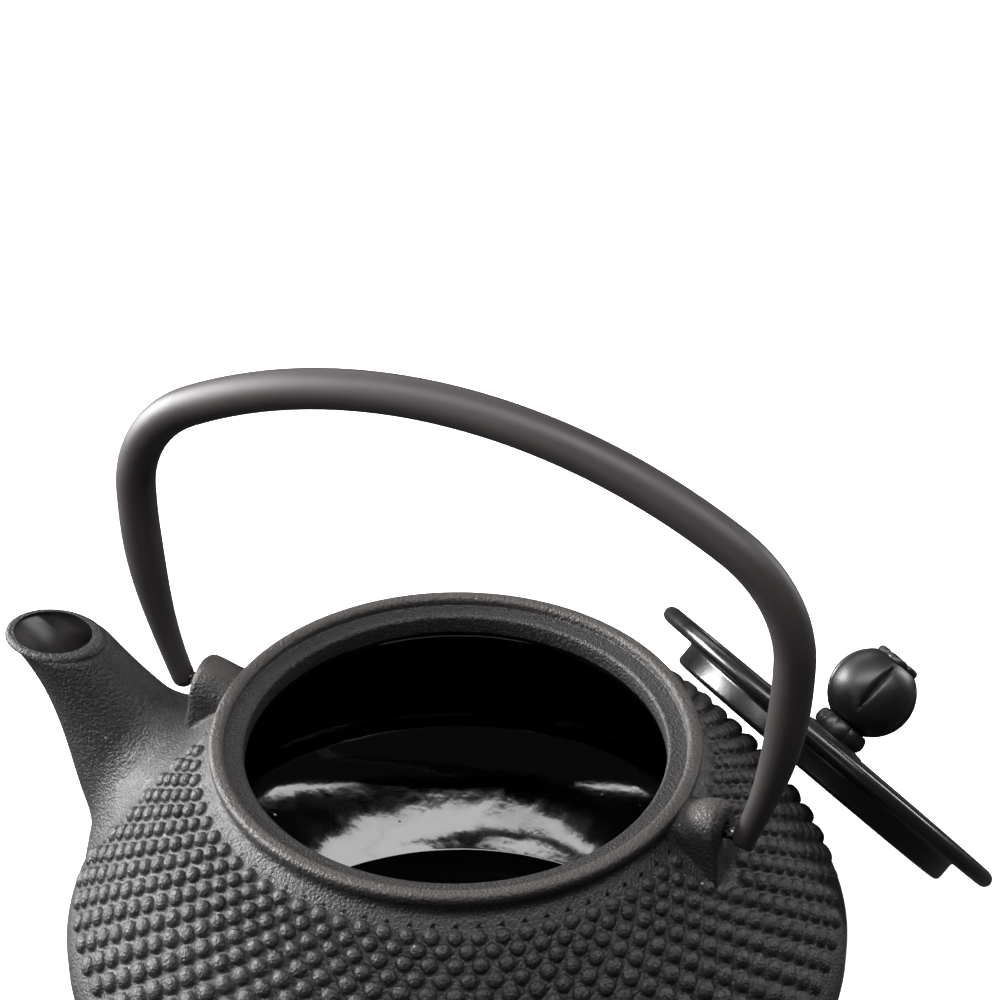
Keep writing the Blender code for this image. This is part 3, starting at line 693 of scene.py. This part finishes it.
pin_low, pin_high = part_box("bail_pin_rear")
PIVOT_HEIGHT = (pin_low.z + pin_high.z) / 2
PIN_RADIUS = (pin_high.z - pin_low.z) / 2
EAR_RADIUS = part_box("ear_rear")[1].z - PIVOT_HEIGHT
EAR_REACH = 58.4 * MM
EAR_DRAFT = 0.11
EAR_FLARE = 2.4 * MM
EAR_ROUNDING = 1.4 * MM
EAR_FALL = 2.3 * MM  # how far its top drops on its way back to the bead
EAR_FALL_FROM = 1.5 * MM
EAR_FALL_TO = 8.5 * MM
EAR_FOOT = POT_HEIGHT - 22 * MM
EAR_COLUMNS = 56
EYE_RADIUS = PIN_RADIUS + 0.35 * MM
EYE_DEPTH = 4.4 * MM
EYE_CHAMFER = 0.3 * MM


def ear_face(height):
    """How far out the ear's end face stands at this height: it leans with the mould's draft."""
    return EAR_REACH + EAR_DRAFT * (POT_HEIGHT - height)


def ear_outline():
    """(across, height) of the ear's cross-section, as evenly spread points."""
    arch = arc((0, PIVOT_HEIGHT), EAR_RADIUS, 0, 180, 24)
    left = [(-EAR_RADIUS - EAR_FLARE * share ** 2, PIVOT_HEIGHT + (EAR_FOOT - PIVOT_HEIGHT) * share)
            for share in np.linspace(0.1, 1, 8)]
    right = [(-across, height) for across, height in left[::-1]]
    loop = np.concatenate([arch, left, right, arch[:1]])
    return resampled(loop, EAR_COLUMNS + 1)[:-1]


def make_ear(name, side, node):
    """The ear on one side: its eye from the bottom out, its face, and its flanks back to the pot."""
    edge = ear_outline()
    pivot = np.array((0, PIVOT_HEIGHT))
    reach = np.linalg.norm(edge - pivot, axis=1)
    way = (edge - pivot) / reach[:, None]

    def ring(distance, back):
        flat = pivot + way * np.minimum(distance, reach)[:, None]
        out = ear_face(flat[:, 1]) - back
        above = np.clip((flat[:, 1] - PIVOT_HEIGHT) / EAR_RADIUS, 0, 1)
        flat[:, 1] -= EAR_FALL * above * eased(back, EAR_FALL_FROM, EAR_FALL_TO)
        return np.stack([side * out, flat[:, 0], flat[:, 1]], 1)

    eye = [
        ring(0.02 * MM, EYE_DEPTH),
        ring(EYE_RADIUS * 0.9, EYE_DEPTH),
        ring(EYE_RADIUS, EYE_DEPTH - 0.2 * MM),
        ring(EYE_RADIUS, 0.35 * MM),
        ring(EYE_RADIUS + EYE_CHAMFER, 0),
    ]
    face_reach = reach - EAR_ROUNDING
    face = [ring(EYE_RADIUS + EYE_CHAMFER + (face_reach - EYE_RADIUS - EYE_CHAMFER) * share, 0)
            for share in (0.15, 0.35, 0.6, 0.8, 1)]
    for turn in np.radians(np.linspace(15, 90, 6)):
        out = face_reach + EAR_ROUNDING * math.sin(turn)
        face.append(ring(out, EAR_ROUNDING * (1 - math.cos(turn))))
    for back in np.linspace(3, 13, 11) * MM:
        face.append(ring(reach, back))
    shaped = rooted(face, leave=1.2 * MM, spread=1.6 * MM, fillet_rows=6, kept_rows=26)
    item = new_object(name, *joined_rows(eye + shaped[1:], True, True), sharp=60)
    item.data.materials.append(cast_iron)
    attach(item, "pot")
    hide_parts(node)


make_ear("ear_front_casting", -1, "ear_front")
make_ear("ear_rear_casting", 1, "ear_rear")


# ---------------------------------------------------------------------------
# Bail. A steel tube bent to a flat-topped bow, swaged thinner at both ends and baked in
# satin black. A steel pin stands out of each end and turns in the ear's eye.
# ---------------------------------------------------------------------------

bail_low, bail_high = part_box("bail")
BAIL_RADIUS = (bail_high.y - bail_low.y) / 2
BAIL_RISE = bail_high.z - PIVOT_HEIGHT - BAIL_RADIUS
BAIL_HALF_WIDTH = bail_high.x - BAIL_RADIUS
BAIL_END_HALF_WIDTH = 63 * MM
CROWN_ARC = 115 * MM
CORNER_ARC = 27 * MM
BAIL_END_RADIUS = 2.5 * MM
BAIL_TAPER = 34 * MM
BAIL_COLUMNS = 36

# Satin black lacquer on bent steel: a low even sheen over very fine orange peel, a little
# duller here and there where hands take hold.
HANDLED = 18 * MM
LACQUER_PEEL = 0.9 * MM
LACQUER_PEEL_DEPTH = 0.05 * MM
lacquer, tree, shader, place = new_material("satin_black_lacquer", ior=1.5)
dust = add(tree, "TexNoise", {"Vector": place, "Scale": 1 / HANDLED, "Detail": 5.0, "Roughness": 0.65})
peel = add(tree, "TexNoise", {"Vector": place, "Scale": 1 / LACQUER_PEEL, "Detail": 2.0, "Roughness": 0.5})
tone = add(tree, "Mix", {0: dust.outputs["Fac"], 6: linear("262222"), 7: linear("353030")},
           data_type="RGBA")
tree.links.new(tone.outputs[2], shader.inputs["Base Color"])
sheen = add(tree, "MapRange", {"Value": dust.outputs["Fac"], "From Min": 0.3, "From Max": 0.7,
                               "To Min": 0.46, "To Max": 0.58})
tree.links.new(sheen.outputs["Result"], shader.inputs["Roughness"])
fine = add(tree, "Bump", {"Height": peel.outputs["Fac"], "Strength": 0.35, "Distance": LACQUER_PEEL_DEPTH})
tree.links.new(fine.outputs["Normal"], shader.inputs["Normal"])


def bail_line():
    """(x, z) along half the bail from its crown to its end, above the pins, with the way it runs."""
    corner_x = BAIL_HALF_WIDTH - CORNER_ARC
    spread = math.asin(corner_x / (CROWN_ARC - CORNER_ARC))
    crown_z = BAIL_RISE - CROWN_ARC
    corner_z = crown_z + (CROWN_ARC - CORNER_ARC) * math.cos(spread)
    draw_in = BAIL_HALF_WIDTH - BAIL_END_HALF_WIDTH
    leg_arc = (corner_z ** 2 + draw_in ** 2) / (2 * draw_in)
    leg_turn = math.asin(corner_z / leg_arc)
    places = []
    ways = []
    for x, z, radius, first, last, count in (
        (0, crown_z, CROWN_ARC, 0, spread, 24),
        (corner_x, corner_z, CORNER_ARC, spread, math.pi / 2, 20),
        (BAIL_HALF_WIDTH - leg_arc, corner_z, leg_arc, math.pi / 2, math.pi / 2 + leg_turn, 24),
    ):
        for turn in np.linspace(first, last, count + 1)[1 if places else 0:]:
            places.append((x + radius * math.sin(turn), z + radius * math.cos(turn)))
            ways.append((math.cos(turn), -math.sin(turn)))
    return np.array(places), np.array(ways)


def bail_rings():
    """Rings of points along the whole bail, with its swaged legs and rounded ends."""
    places, ways = bail_line()
    radii = BAIL_END_RADIUS + eased(places[:, 1], 0, BAIL_TAPER) * (BAIL_RADIUS - BAIL_END_RADIUS)
    stations = list(zip(places, ways, radii))
    end, way = stations[-1][:2]
    for turn in np.radians((20, 40, 60, 76)):
        past = end + way * BAIL_END_RADIUS * math.sin(turn)
        stations.append((past, way, BAIL_END_RADIUS * math.cos(turn)))
    rows = []
    turns = np.linspace(0, 2 * math.pi, BAIL_COLUMNS, endpoint=False)
    for (x, z), (way_x, way_z), radius in stations:
        row = np.zeros((BAIL_COLUMNS, 3))
        row[:, 0] = x - way_z * radius * np.cos(turns)
        row[:, 2] = PIVOT_HEIGHT + z + way_x * radius * np.cos(turns)
        row[:, 1] = radius * np.sin(turns)
        rows.append(row)
    mirrored = [row * (-1, 1, 1) for row in rows[:0:-1]]
    return mirrored + rows


bail = new_object("bail_bow", *joined_rows(bail_rings(), True, True), sharp=60)
bail.data.materials.append(lacquer)
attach(bail, "bail")
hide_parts("bail")

# Drawn steel pin, blackened, with the black worn through where it rubs in the eye
RUB_MARK = 0.8 * MM
RUB_DEPTH = 0.05 * MM
worn_pin, tree, shader, place = new_material("worn_blackened_steel", metallic=1.0)
rub = add(tree, "TexNoise", {"Vector": place, "Scale": 1 / RUB_MARK, "Detail": 4.0, "Roughness": 0.7})
worn = add(tree, "MapRange", {"Value": rub.outputs["Fac"], "From Min": 0.5, "From Max": 0.62})
tone = add(tree, "Mix", {0: worn.outputs["Result"], 6: linear("1c1a1a"), 7: linear("9a9590")},
           data_type="RGBA")
tree.links.new(tone.outputs[2], shader.inputs["Base Color"])
matt = add(tree, "MapRange", {"Value": worn.outputs["Result"], "To Min": 0.5, "To Max": 0.24})
tree.links.new(matt.outputs["Result"], shader.inputs["Roughness"])
scuff = add(tree, "Bump", {"Height": rub.outputs["Fac"], "Strength": 0.4, "Distance": RUB_DEPTH})
tree.links.new(scuff.outputs["Normal"], shader.inputs["Normal"])


def spun(name, outline, matrix, columns=96, sharp=40):
    """A turned piece from its (radius, height) outline: closed, or open with both ends on the axis."""
    turns = np.linspace(0, 2 * math.pi, columns, endpoint=False)
    outline = np.asarray(outline, float)
    rows = []
    for radius, height in outline:
        radius = max(radius, 0.004 * MM)
        level = np.full(columns, height)
        rows.append(np.stack([radius * np.cos(turns), radius * np.sin(turns), level], 1))
    open_ended = outline[0, 0] < 0.01 * MM
    points, quads = joined_rows(rows, open_ended, open_ended)
    if not open_ended:
        quads += strip((len(rows) - 1) * columns, 0, columns)
    points = [tuple(matrix @ Vector(point)) for point in points]
    return new_object(name, points, quads, sharp)


PIN_CHAMFER = 0.5 * MM
for label, side in (("front", -1), ("rear", 1)):
    low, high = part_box("bail_pin_" + label)
    inner, outer = sorted((abs(low.x), abs(high.x)))
    inwards = Matrix.Rotation(-side * math.pi / 2, 4, "Y")
    length = outer - inner
    pin = spun("bail_pin_" + label + "_turned", [
        (0, 0), (PIN_RADIUS, 0), (PIN_RADIUS, length - PIN_CHAMFER), (PIN_RADIUS - 0.4 * MM, length),
        (0, length),
    ], Matrix.Translation((side * outer, 0, PIVOT_HEIGHT)) @ inwards, 24)
    pin.data.materials.append(worn_pin)
    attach(pin, "bail")
    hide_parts("bail_pin_" + label)


# ---------------------------------------------------------------------------
# Lid. A thin cast-iron disc with a downstand ring that drops inside the neck, smooth and
# enamelled black. It is off the pot, and leans with its edge on the table.
# ---------------------------------------------------------------------------

LID_RADIUS = RIM_RADIUS - BEAD_WIDTH - 0.4 * MM
LID_EDGE = 3.7 * MM
LID_CROWN = 0.4 * MM
LID_ROUNDING = 1.8 * MM
LID_HOLLOW = 0.4 * MM  # how far its underside is sunk inside the ring
SPIGOT_RADIUS = 37.3 * MM
SPIGOT_WALL = 3.4 * MM
SPIGOT_DEPTH = 5.3 * MM
SPIGOT_FILLET = 1.5 * MM
SPIGOT_INNER_EDGE = 0.9 * MM
SPIGOT_OUTER_EDGE = 1.2 * MM
SPIGOT_ROOT = 0.8 * MM
SCREW_RADIUS = 2 * MM
SEAT_GAP = 0.3 * MM
WASHER_MIDDLE = -0.3 * MM  # on the lid's axis, from the underside of its edge


def middle_of(node):
    """The middle of a CAD node's box."""
    low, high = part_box(node)
    return (low + high) / 2


lid_axis = (middle_of("knob_cap") - middle_of("lid_washer")).normalized()
lid_across = Vector((0, 0, 1)).cross(lid_axis).normalized()
lid_origin = middle_of("lid_washer") - lid_axis * WASHER_MIDDLE
lid_lean = Matrix((lid_across, lid_axis.cross(lid_across), lid_axis)).transposed().to_4x4()
LID_PLACE = Matrix.Translation(lid_origin) @ lid_lean

# Enamel over a finished casting: black and smooth, less mirror-like than the inside, with
# the slow unevenness of hand-dipped ware.
DIP_DRIFT = 9 * MM
DIP_DRIFT_DEPTH = 0.3 * MM
DIP_PEEL = 1.3 * MM
DIP_PEEL_DEPTH = 0.05 * MM
lid_enamel, tree, shader, place = new_material("black_enamel_satin", ior=1.52)
drift = add(tree, "TexNoise", {"Vector": place, "Scale": 1 / DIP_DRIFT, "Detail": 3.0, "Roughness": 0.55})
peel = add(tree, "TexNoise", {"Vector": place, "Scale": 1 / DIP_PEEL, "Detail": 2.0, "Roughness": 0.5})
tone = add(tree, "Mix", {0: drift.outputs["Fac"], 6: linear("0e0d0e"), 7: linear("1a1819")},
           data_type="RGBA")
tree.links.new(tone.outputs[2], shader.inputs["Base Color"])
sheen = add(tree, "MapRange", {"Value": drift.outputs["Fac"], "From Min": 0.3, "From Max": 0.7,
                               "To Min": 0.2, "To Max": 0.34})
tree.links.new(sheen.outputs["Result"], shader.inputs["Roughness"])
slow = add(tree, "Bump", {"Height": drift.outputs["Fac"], "Strength": 0.35, "Distance": DIP_DRIFT_DEPTH})
fine = add(tree, "Bump", {"Height": peel.outputs["Fac"], "Strength": 0.3, "Distance": DIP_PEEL_DEPTH,
                          "Normal": slow.outputs["Normal"]})
tree.links.new(fine.outputs["Normal"], shader.inputs["Normal"])

screw_hole = SCREW_RADIUS + SEAT_GAP
spigot_inner = SPIGOT_RADIUS - SPIGOT_WALL
crown_line = curve(
    (LID_RADIUS - LID_ROUNDING, LID_EDGE), (0.66 * LID_RADIUS, LID_EDGE + 0.8 * LID_CROWN),
    (0.33 * LID_RADIUS, LID_EDGE + LID_CROWN), (screw_hole, LID_EDGE + LID_CROWN), 16,
)
lid = spun("lid_disc", np.concatenate([
    [(screw_hole, LID_HOLLOW), (12 * MM, LID_HOLLOW)],
    arc((spigot_inner - SPIGOT_FILLET, -1.1 * MM), SPIGOT_FILLET, 90, 0, 4),
    [(spigot_inner, -SPIGOT_DEPTH + 1 * MM)],
    arc((spigot_inner + SPIGOT_INNER_EDGE, -SPIGOT_DEPTH + SPIGOT_INNER_EDGE), SPIGOT_INNER_EDGE,
        180, 270, 4),
    arc((SPIGOT_RADIUS - SPIGOT_OUTER_EDGE, -SPIGOT_DEPTH + SPIGOT_OUTER_EDGE), SPIGOT_OUTER_EDGE,
        -90, 0, 5),
    [(SPIGOT_RADIUS, -1 * MM)],
    arc((SPIGOT_RADIUS + SPIGOT_ROOT, -SPIGOT_ROOT), SPIGOT_ROOT, 180, 90, 3),
    arc((LID_RADIUS - LID_ROUNDING, LID_ROUNDING), LID_ROUNDING, -90, 90, 9),
    crown_line,
]), LID_PLACE, 160, 50)
lid.data.materials.append(lid_enamel)
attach(lid, "lid")
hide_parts("lid")


# ---------------------------------------------------------------------------
# Knob. Cast in small pieces and lacquered black: a thin foot plate, a petalled collar, a
# round bud with slits between its closed petals, and a small petalled cap on top.
# ---------------------------------------------------------------------------

KNOB_RADIUS = 9.9 * MM
KNOB_FLAT_RADIUS = 3.6 * MM
CAP_RADIUS = 5.2 * MM
CAP_HEIGHT = 1.7 * MM
CAP_OVERLAP = 0.2 * MM
COLLAR_PETALS_RADIUS = 6.5 * MM
COLLAR_PETALS_HEIGHT = 3.7 * MM
COLLAR_STEP = 2.4 * MM
PLATE_HEIGHT = 1.2 * MM
PLATE_RADIUS = 7.9 * MM
PLATE_EDGE = 0.3 * MM
SUNK = 0.5 * MM  # how far each piece beds into the one below
knob_level = (middle_of("knob_cap") - lid_origin).dot(lid_axis) - CAP_HEIGHT / 2 - SEAT_GAP
ball_level = knob_level - math.sqrt(KNOB_RADIUS ** 2 - CAP_RADIUS ** 2)
ball_foot = ball_level - math.sqrt(KNOB_RADIUS ** 2 - KNOB_FLAT_RADIUS ** 2)
collar_level = ball_foot - SEAT_GAP - COLLAR_STEP
plate_level = collar_level - SEAT_GAP - PLATE_HEIGHT

# Black lacquer rubbed down by hand: darker and smoother than the bail's, with a soft
# highlight and slight flecks of the brush.
RUBBED_DRIFT = 5 * MM
RUBBED_DRIFT_DEPTH = 0.2 * MM
BRUSH_FLECK = 0.5 * MM
BRUSH_FLECK_DEPTH = 0.03 * MM
hand_lacquer, tree, shader, place = new_material("polished_black_lacquer", ior=1.52)
drift = add(tree, "TexNoise", {"Vector": place, "Scale": 1 / RUBBED_DRIFT, "Detail": 3.0,
                               "Roughness": 0.6})
fleck = add(tree, "TexNoise", {"Vector": place, "Scale": 1 / BRUSH_FLECK, "Detail": 2.0,
                               "Roughness": 0.5})
tone = add(tree, "Mix", {0: drift.outputs["Fac"], 6: linear("0b0a0a"), 7: linear("161414")},
           data_type="RGBA")
tree.links.new(tone.outputs[2], shader.inputs["Base Color"])
sheen = add(tree, "MapRange", {"Value": drift.outputs["Fac"], "From Min": 0.3, "From Max": 0.7,
                               "To Min": 0.34, "To Max": 0.48})
tree.links.new(sheen.outputs["Result"], shader.inputs["Roughness"])
slow = add(tree, "Bump", {"Height": drift.outputs["Fac"], "Strength": 0.3,
                          "Distance": RUBBED_DRIFT_DEPTH})
fine = add(tree, "Bump", {"Height": fleck.outputs["Fac"], "Strength": 0.25,
                          "Distance": BRUSH_FLECK_DEPTH, "Normal": slow.outputs["Normal"]})
tree.links.new(fine.outputs["Normal"], shader.inputs["Normal"])


def finish_knob_piece(item, node):
    """Lacquers a piece of the knob and fixes it to the lid in place of its CAD node."""
    item.data.materials.append(hand_lacquer)
    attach(item, "lid")
    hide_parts(node)


plate = spun("knob_foot_plate", np.concatenate([
    [(screw_hole, plate_level - SUNK), (7.7 * MM, plate_level - SUNK)],
    arc((PLATE_RADIUS - PLATE_EDGE, plate_level + PLATE_EDGE), PLATE_EDGE, -40, 60, 5),
    [(6.6 * MM, plate_level + 0.75 * MM), (4.7 * MM, plate_level + PLATE_HEIGHT)],
    [(screw_hole, plate_level + PLATE_HEIGHT)],
]), LID_PLACE, 64)
finish_knob_piece(plate, "knob_base")


def rosette(name, radius, height, level, petals, scallop, hole, turn, cup, fold):
    """A petalled disc: lobed edge, folded in between petals, and cupped towards its middle."""
    columns = petals * 16
    rows = []
    profile = [(hole, 0.0), (0.55, 0.0), (0.93, 0.0), (1.0, 0.25), (1.0, 0.55), (0.94, 0.86),
               (0.84, 1.0), (0.66, 1.0 - cup), (0.42, 0.9 - cup), (0.24, 0.95 - cup), (hole, 0.9 - cup)]
    turns = np.linspace(0, 2 * math.pi, columns, endpoint=False)
    lobes = np.abs(np.cos(petals * turns / 2))
    for share, lift in profile:
        outwards = np.clip((share - 0.15) / 0.85, 0, 1)
        reach = radius * share * (1 - scallop * (1 - lobes) * outwards)
        crease = np.clip(1 - lobes / 0.35, 0, 1) ** 2 * outwards * fold * (lift > 0.7)
        z = level + height * (lift - crease)
        rows.append(np.stack([reach * np.cos(turns + turn), reach * np.sin(turns + turn), z], 1))
    points, quads = joined_rows(rows)
    quads += strip((len(rows) - 1) * columns, 0, columns)
    return new_object(name, [tuple(LID_PLACE @ Vector(point)) for point in points], quads, 35)


collar = rosette(
    "knob_collar_petals", COLLAR_PETALS_RADIUS, COLLAR_PETALS_HEIGHT, collar_level - SUNK, petals=10,
    scallop=0.04, hole=screw_hole / COLLAR_PETALS_RADIUS, turn=0.3, cup=0.3, fold=0.06,
)
finish_knob_piece(collar, "knob_collar")

# The bud's slits run between these latitudes, in degrees, and are deepest near its waist
BUD_PETALS = 5
BUD_COLUMNS = 120
BUD_TURN = math.radians(126)  # where the first slit stands round the knob
SLIT_STARTS = (-34, -18)
SLIT_ENDS = (44, 52)
SLIT_WAIST = 8
SLIT_HALF_LENGTH = 40
SLIT_DEPTH = 1.0 * MM
SLIT_WIDTH = 0.62 * MM
PETAL_STEP = 0.28 * MM  # one petal's edge lies under the next one's
PETAL_STEP_SHARE = 0.4
PETAL_STEP_RUN = 1.6 * MM
bud_turns = np.linspace(0, 2 * math.pi, BUD_COLUMNS, endpoint=False)
foot_angle = math.asin(KNOB_FLAT_RADIUS / KNOB_RADIUS)
cap_angle = math.asin(CAP_RADIUS / KNOB_RADIUS)
socket_top = ball_foot + 7 * MM
rows = [np.stack([r * np.cos(bud_turns), r * np.sin(bud_turns), np.full(BUD_COLUMNS, z)], 1)
        for r, z in ((0.004 * MM, socket_top), (screw_hole, socket_top), (screw_hole, ball_foot))]
from_slit = ((bud_turns * BUD_PETALS / (2 * math.pi) + 0.5) % 1 - 0.5) * 2 * math.pi / BUD_PETALS
for angle in np.linspace(foot_angle, math.pi - cap_angle, 64):
    latitude = math.degrees(angle) - 90
    across = from_slit * math.sin(angle) * KNOB_RADIUS
    open_slit = eased(latitude, *SLIT_STARTS) * (1 - eased(latitude, *SLIT_ENDS))
    lens = max(1 - ((latitude - SLIT_WAIST) / SLIT_HALF_LENGTH) ** 2, 0.05)
    groove = SLIT_DEPTH * open_slit * np.exp(-(across / (SLIT_WIDTH * lens)) ** 2)
    step = PETAL_STEP * open_slit * np.exp(-np.clip(-across, 0, None) / PETAL_STEP_RUN) * (across < 0)
    radius = KNOB_RADIUS - groove - step * PETAL_STEP_SHARE
    height = ball_level - radius * math.cos(angle)
    reach = radius * math.sin(angle)
    turns = bud_turns + BUD_TURN
    rows.append(np.stack([reach * np.cos(turns), reach * np.sin(turns), height], 1))
points, quads = joined_rows(rows, True, True)
bud = new_object("knob_bud_slit", [tuple(LID_PLACE @ Vector(point)) for point in points], quads, 45)
finish_knob_piece(bud, "knob_bud")

cap = rosette(
    "knob_cap_petals", CAP_RADIUS + CAP_OVERLAP, CAP_HEIGHT, knob_level - SEAT_GAP, petals=5,
    scallop=0.18, hole=0.2, turn=0.9, cup=0.3, fold=0.3,
)
finish_knob_piece(cap, "knob_cap")


# ---------------------------------------------------------------------------
# Fixing. A round-headed steel screw through a washer holds the knob from inside the lid,
# both zinc plated.
# ---------------------------------------------------------------------------

HEAD_RADIUS = 4 * MM
HEAD_EDGE = 0.35 * MM
HEAD_DOME = 6.1 * MM
HEAD_DOME_CENTRE = 4.6 * MM
WASHER_RADIUS = 6 * MM
WASHER_HALF_THICKNESS = 0.4 * MM

# Bright zinc on steel: a pale metal, clouded in patches a millimetre or two across.
ZINC_BLOOM = 1.4 * MM
ZINC_BLOOM_DEPTH = 0.04 * MM
zinc, tree, shader, place = new_material("zinc_plated_steel", metallic=1.0)
bloom = add(tree, "TexNoise", {"Vector": place, "Scale": 1 / ZINC_BLOOM, "Detail": 4.0, "Roughness": 0.6})
tone = add(tree, "Mix", {0: bloom.outputs["Fac"], 6: linear("8a8b8e"), 7: linear("b4b5b7")},
           data_type="RGBA")
tree.links.new(tone.outputs[2], shader.inputs["Base Color"])
dull = add(tree, "MapRange", {"Value": bloom.outputs["Fac"], "To Min": 0.22, "To Max": 0.42})
tree.links.new(dull.outputs["Result"], shader.inputs["Roughness"])
clouded = add(tree, "Bump", {"Height": bloom.outputs["Fac"], "Strength": 0.3,
                             "Distance": ZINC_BLOOM_DEPTH})
tree.links.new(clouded.outputs["Normal"], shader.inputs["Normal"])

head_level = WASHER_MIDDLE - 0.7 * MM
washer_under = WASHER_MIDDLE - WASHER_HALF_THICKNESS
washer_top = WASHER_MIDDLE + WASHER_HALF_THICKNESS
screw = spun("lid_screw_turned", np.concatenate([
    arc((0, head_level + HEAD_DOME_CENTRE), HEAD_DOME, -90, -52, 6),
    [(HEAD_RADIUS, head_level - HEAD_EDGE), (HEAD_RADIUS, head_level), (SCREW_RADIUS, head_level)],
    [(SCREW_RADIUS, socket_top - SEAT_GAP), (0, socket_top - SEAT_GAP)],
]), LID_PLACE, 48)
washer = spun("lid_washer_pressed", [
    (screw_hole, washer_under), (5.8 * MM, washer_under), (WASHER_RADIUS, WASHER_MIDDLE - 0.2 * MM),
    (WASHER_RADIUS, WASHER_MIDDLE + 0.25 * MM), (5.85 * MM, washer_top), (screw_hole, washer_top),
], LID_PLACE, 48)
for item, node in ((screw, "lid_screw"), (washer, "lid_washer")):
    item.data.materials.append(zinc)
    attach(item, "lid")
    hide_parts(node)


# ---------------------------------------------------------------------------
# Studio. A white table, two soft panels side by side overhead, a bright softbox low on the
# left, weak ones in front and behind, and a narrow strip on the right. The camera looks
# down into the open pot from the front right.
# ---------------------------------------------------------------------------

TABLE_HALF = 40
floor_mesh = bpy.data.meshes.new("table_top")
floor_mesh.from_pydata([
    (-TABLE_HALF, -TABLE_HALF, 0), (TABLE_HALF, -TABLE_HALF, 0),
    (TABLE_HALF, TABLE_HALF, 0), (-TABLE_HALF, TABLE_HALF, 0),
], [], [(0, 1, 2, 3)])
floor = bpy.data.objects.new("table_top", floor_mesh)
bpy.context.scene.collection.objects.link(floor)
floor.location.z = -0.2 * MM
# The white table glows, so that it stays white to its far edge. It lights nothing itself.
floor.visible_diffuse = False
floor.visible_glossy = False
table, tree, shader, place = new_material("white_table")
shader.inputs["Base Color"].default_value = linear("f6f6f6")
shader.inputs["Roughness"].default_value = 0.9
shader.inputs["Specular IOR Level"].default_value = 0.1
shader.inputs["Emission Color"].default_value = (1, 1, 1, 1)
shader.inputs["Emission Strength"].default_value = 1.0
floor.data.materials.append(table)

world = bpy.data.worlds.new("studio")
bpy.context.scene.world = world
world.use_nodes = True
world.node_tree.nodes["Background"].inputs["Color"].default_value = (0.96, 0.97, 1, 1)
world.node_tree.nodes["Background"].inputs["Strength"].default_value = 0.06

CAMERA_PLACE = (0.24972, -0.52532, 0.54100)
CAMERA_AZIMUTH = math.radians(24.541)
CAMERA_TILT = math.radians(34.718)
# Directions as the camera has them, level but for up
left = Vector((-math.cos(CAMERA_AZIMUTH), -math.sin(CAMERA_AZIMUTH), 0))
behind = Vector((-math.sin(CAMERA_AZIMUTH), math.cos(CAMERA_AZIMUTH), 0))
up = Vector((0, 0, 1))
centre = Vector((0, 0, 0.05))


def softbox(name, place, width, height, watts, level_side=up):
    """A rectangular area light that faces the pot, with its width at right angles to level_side."""
    lamp = bpy.data.lights.new(name, "AREA")
    lamp.shape = "RECTANGLE"
    lamp.size = width
    lamp.size_y = height
    lamp.energy = watts
    item = bpy.data.objects.new(name, lamp)
    away = (place - centre).normalized()
    across = level_side.cross(away).normalized()
    facing = Matrix((across, away.cross(across), away)).transposed().to_4x4()
    item.matrix_world = Matrix.Translation(place) @ facing
    bpy.context.scene.collection.objects.link(item)


softbox("overhead_near", up * 1.05 - behind * 0.09, 1.9, 0.26, 15, behind)
softbox("overhead_front", up * 1.05 - behind * 0.272, 1.9, 0.09, 5.4, behind)
softbox("key_left", left * 1.0 + behind * 0.4 + up * 0.32, 0.8, 0.45, 48)
softbox("fill_front", left * 0.6 - behind * 1.0 + up * 0.3, 1.0, 0.6, 2.4)
softbox("back_low", left * 0.25 + behind * 1.1 + up * 0.7, 0.9, 0.4, 3)
softbox("strip_right", left * -0.95 + behind * 0.6 + up * 0.3, 0.12, 0.6, 5)

camera = bpy.data.cameras.new("camera")
camera.lens = 131.62
camera.sensor_width = 36
viewpoint = bpy.data.objects.new("camera", camera)
bpy.context.scene.collection.objects.link(viewpoint)
back = Vector((
    math.sin(CAMERA_AZIMUTH) * math.cos(CAMERA_TILT), -math.cos(CAMERA_AZIMUTH) * math.cos(CAMERA_TILT),
    math.sin(CAMERA_TILT),
))
right = -left
aim = Matrix((right, back.cross(right), back)).transposed().to_4x4()
viewpoint.matrix_world = Matrix.Translation(CAMERA_PLACE) @ aim
bpy.context.scene.camera = viewpoint
bpy.context.scene.view_settings.view_transform = "Standard"
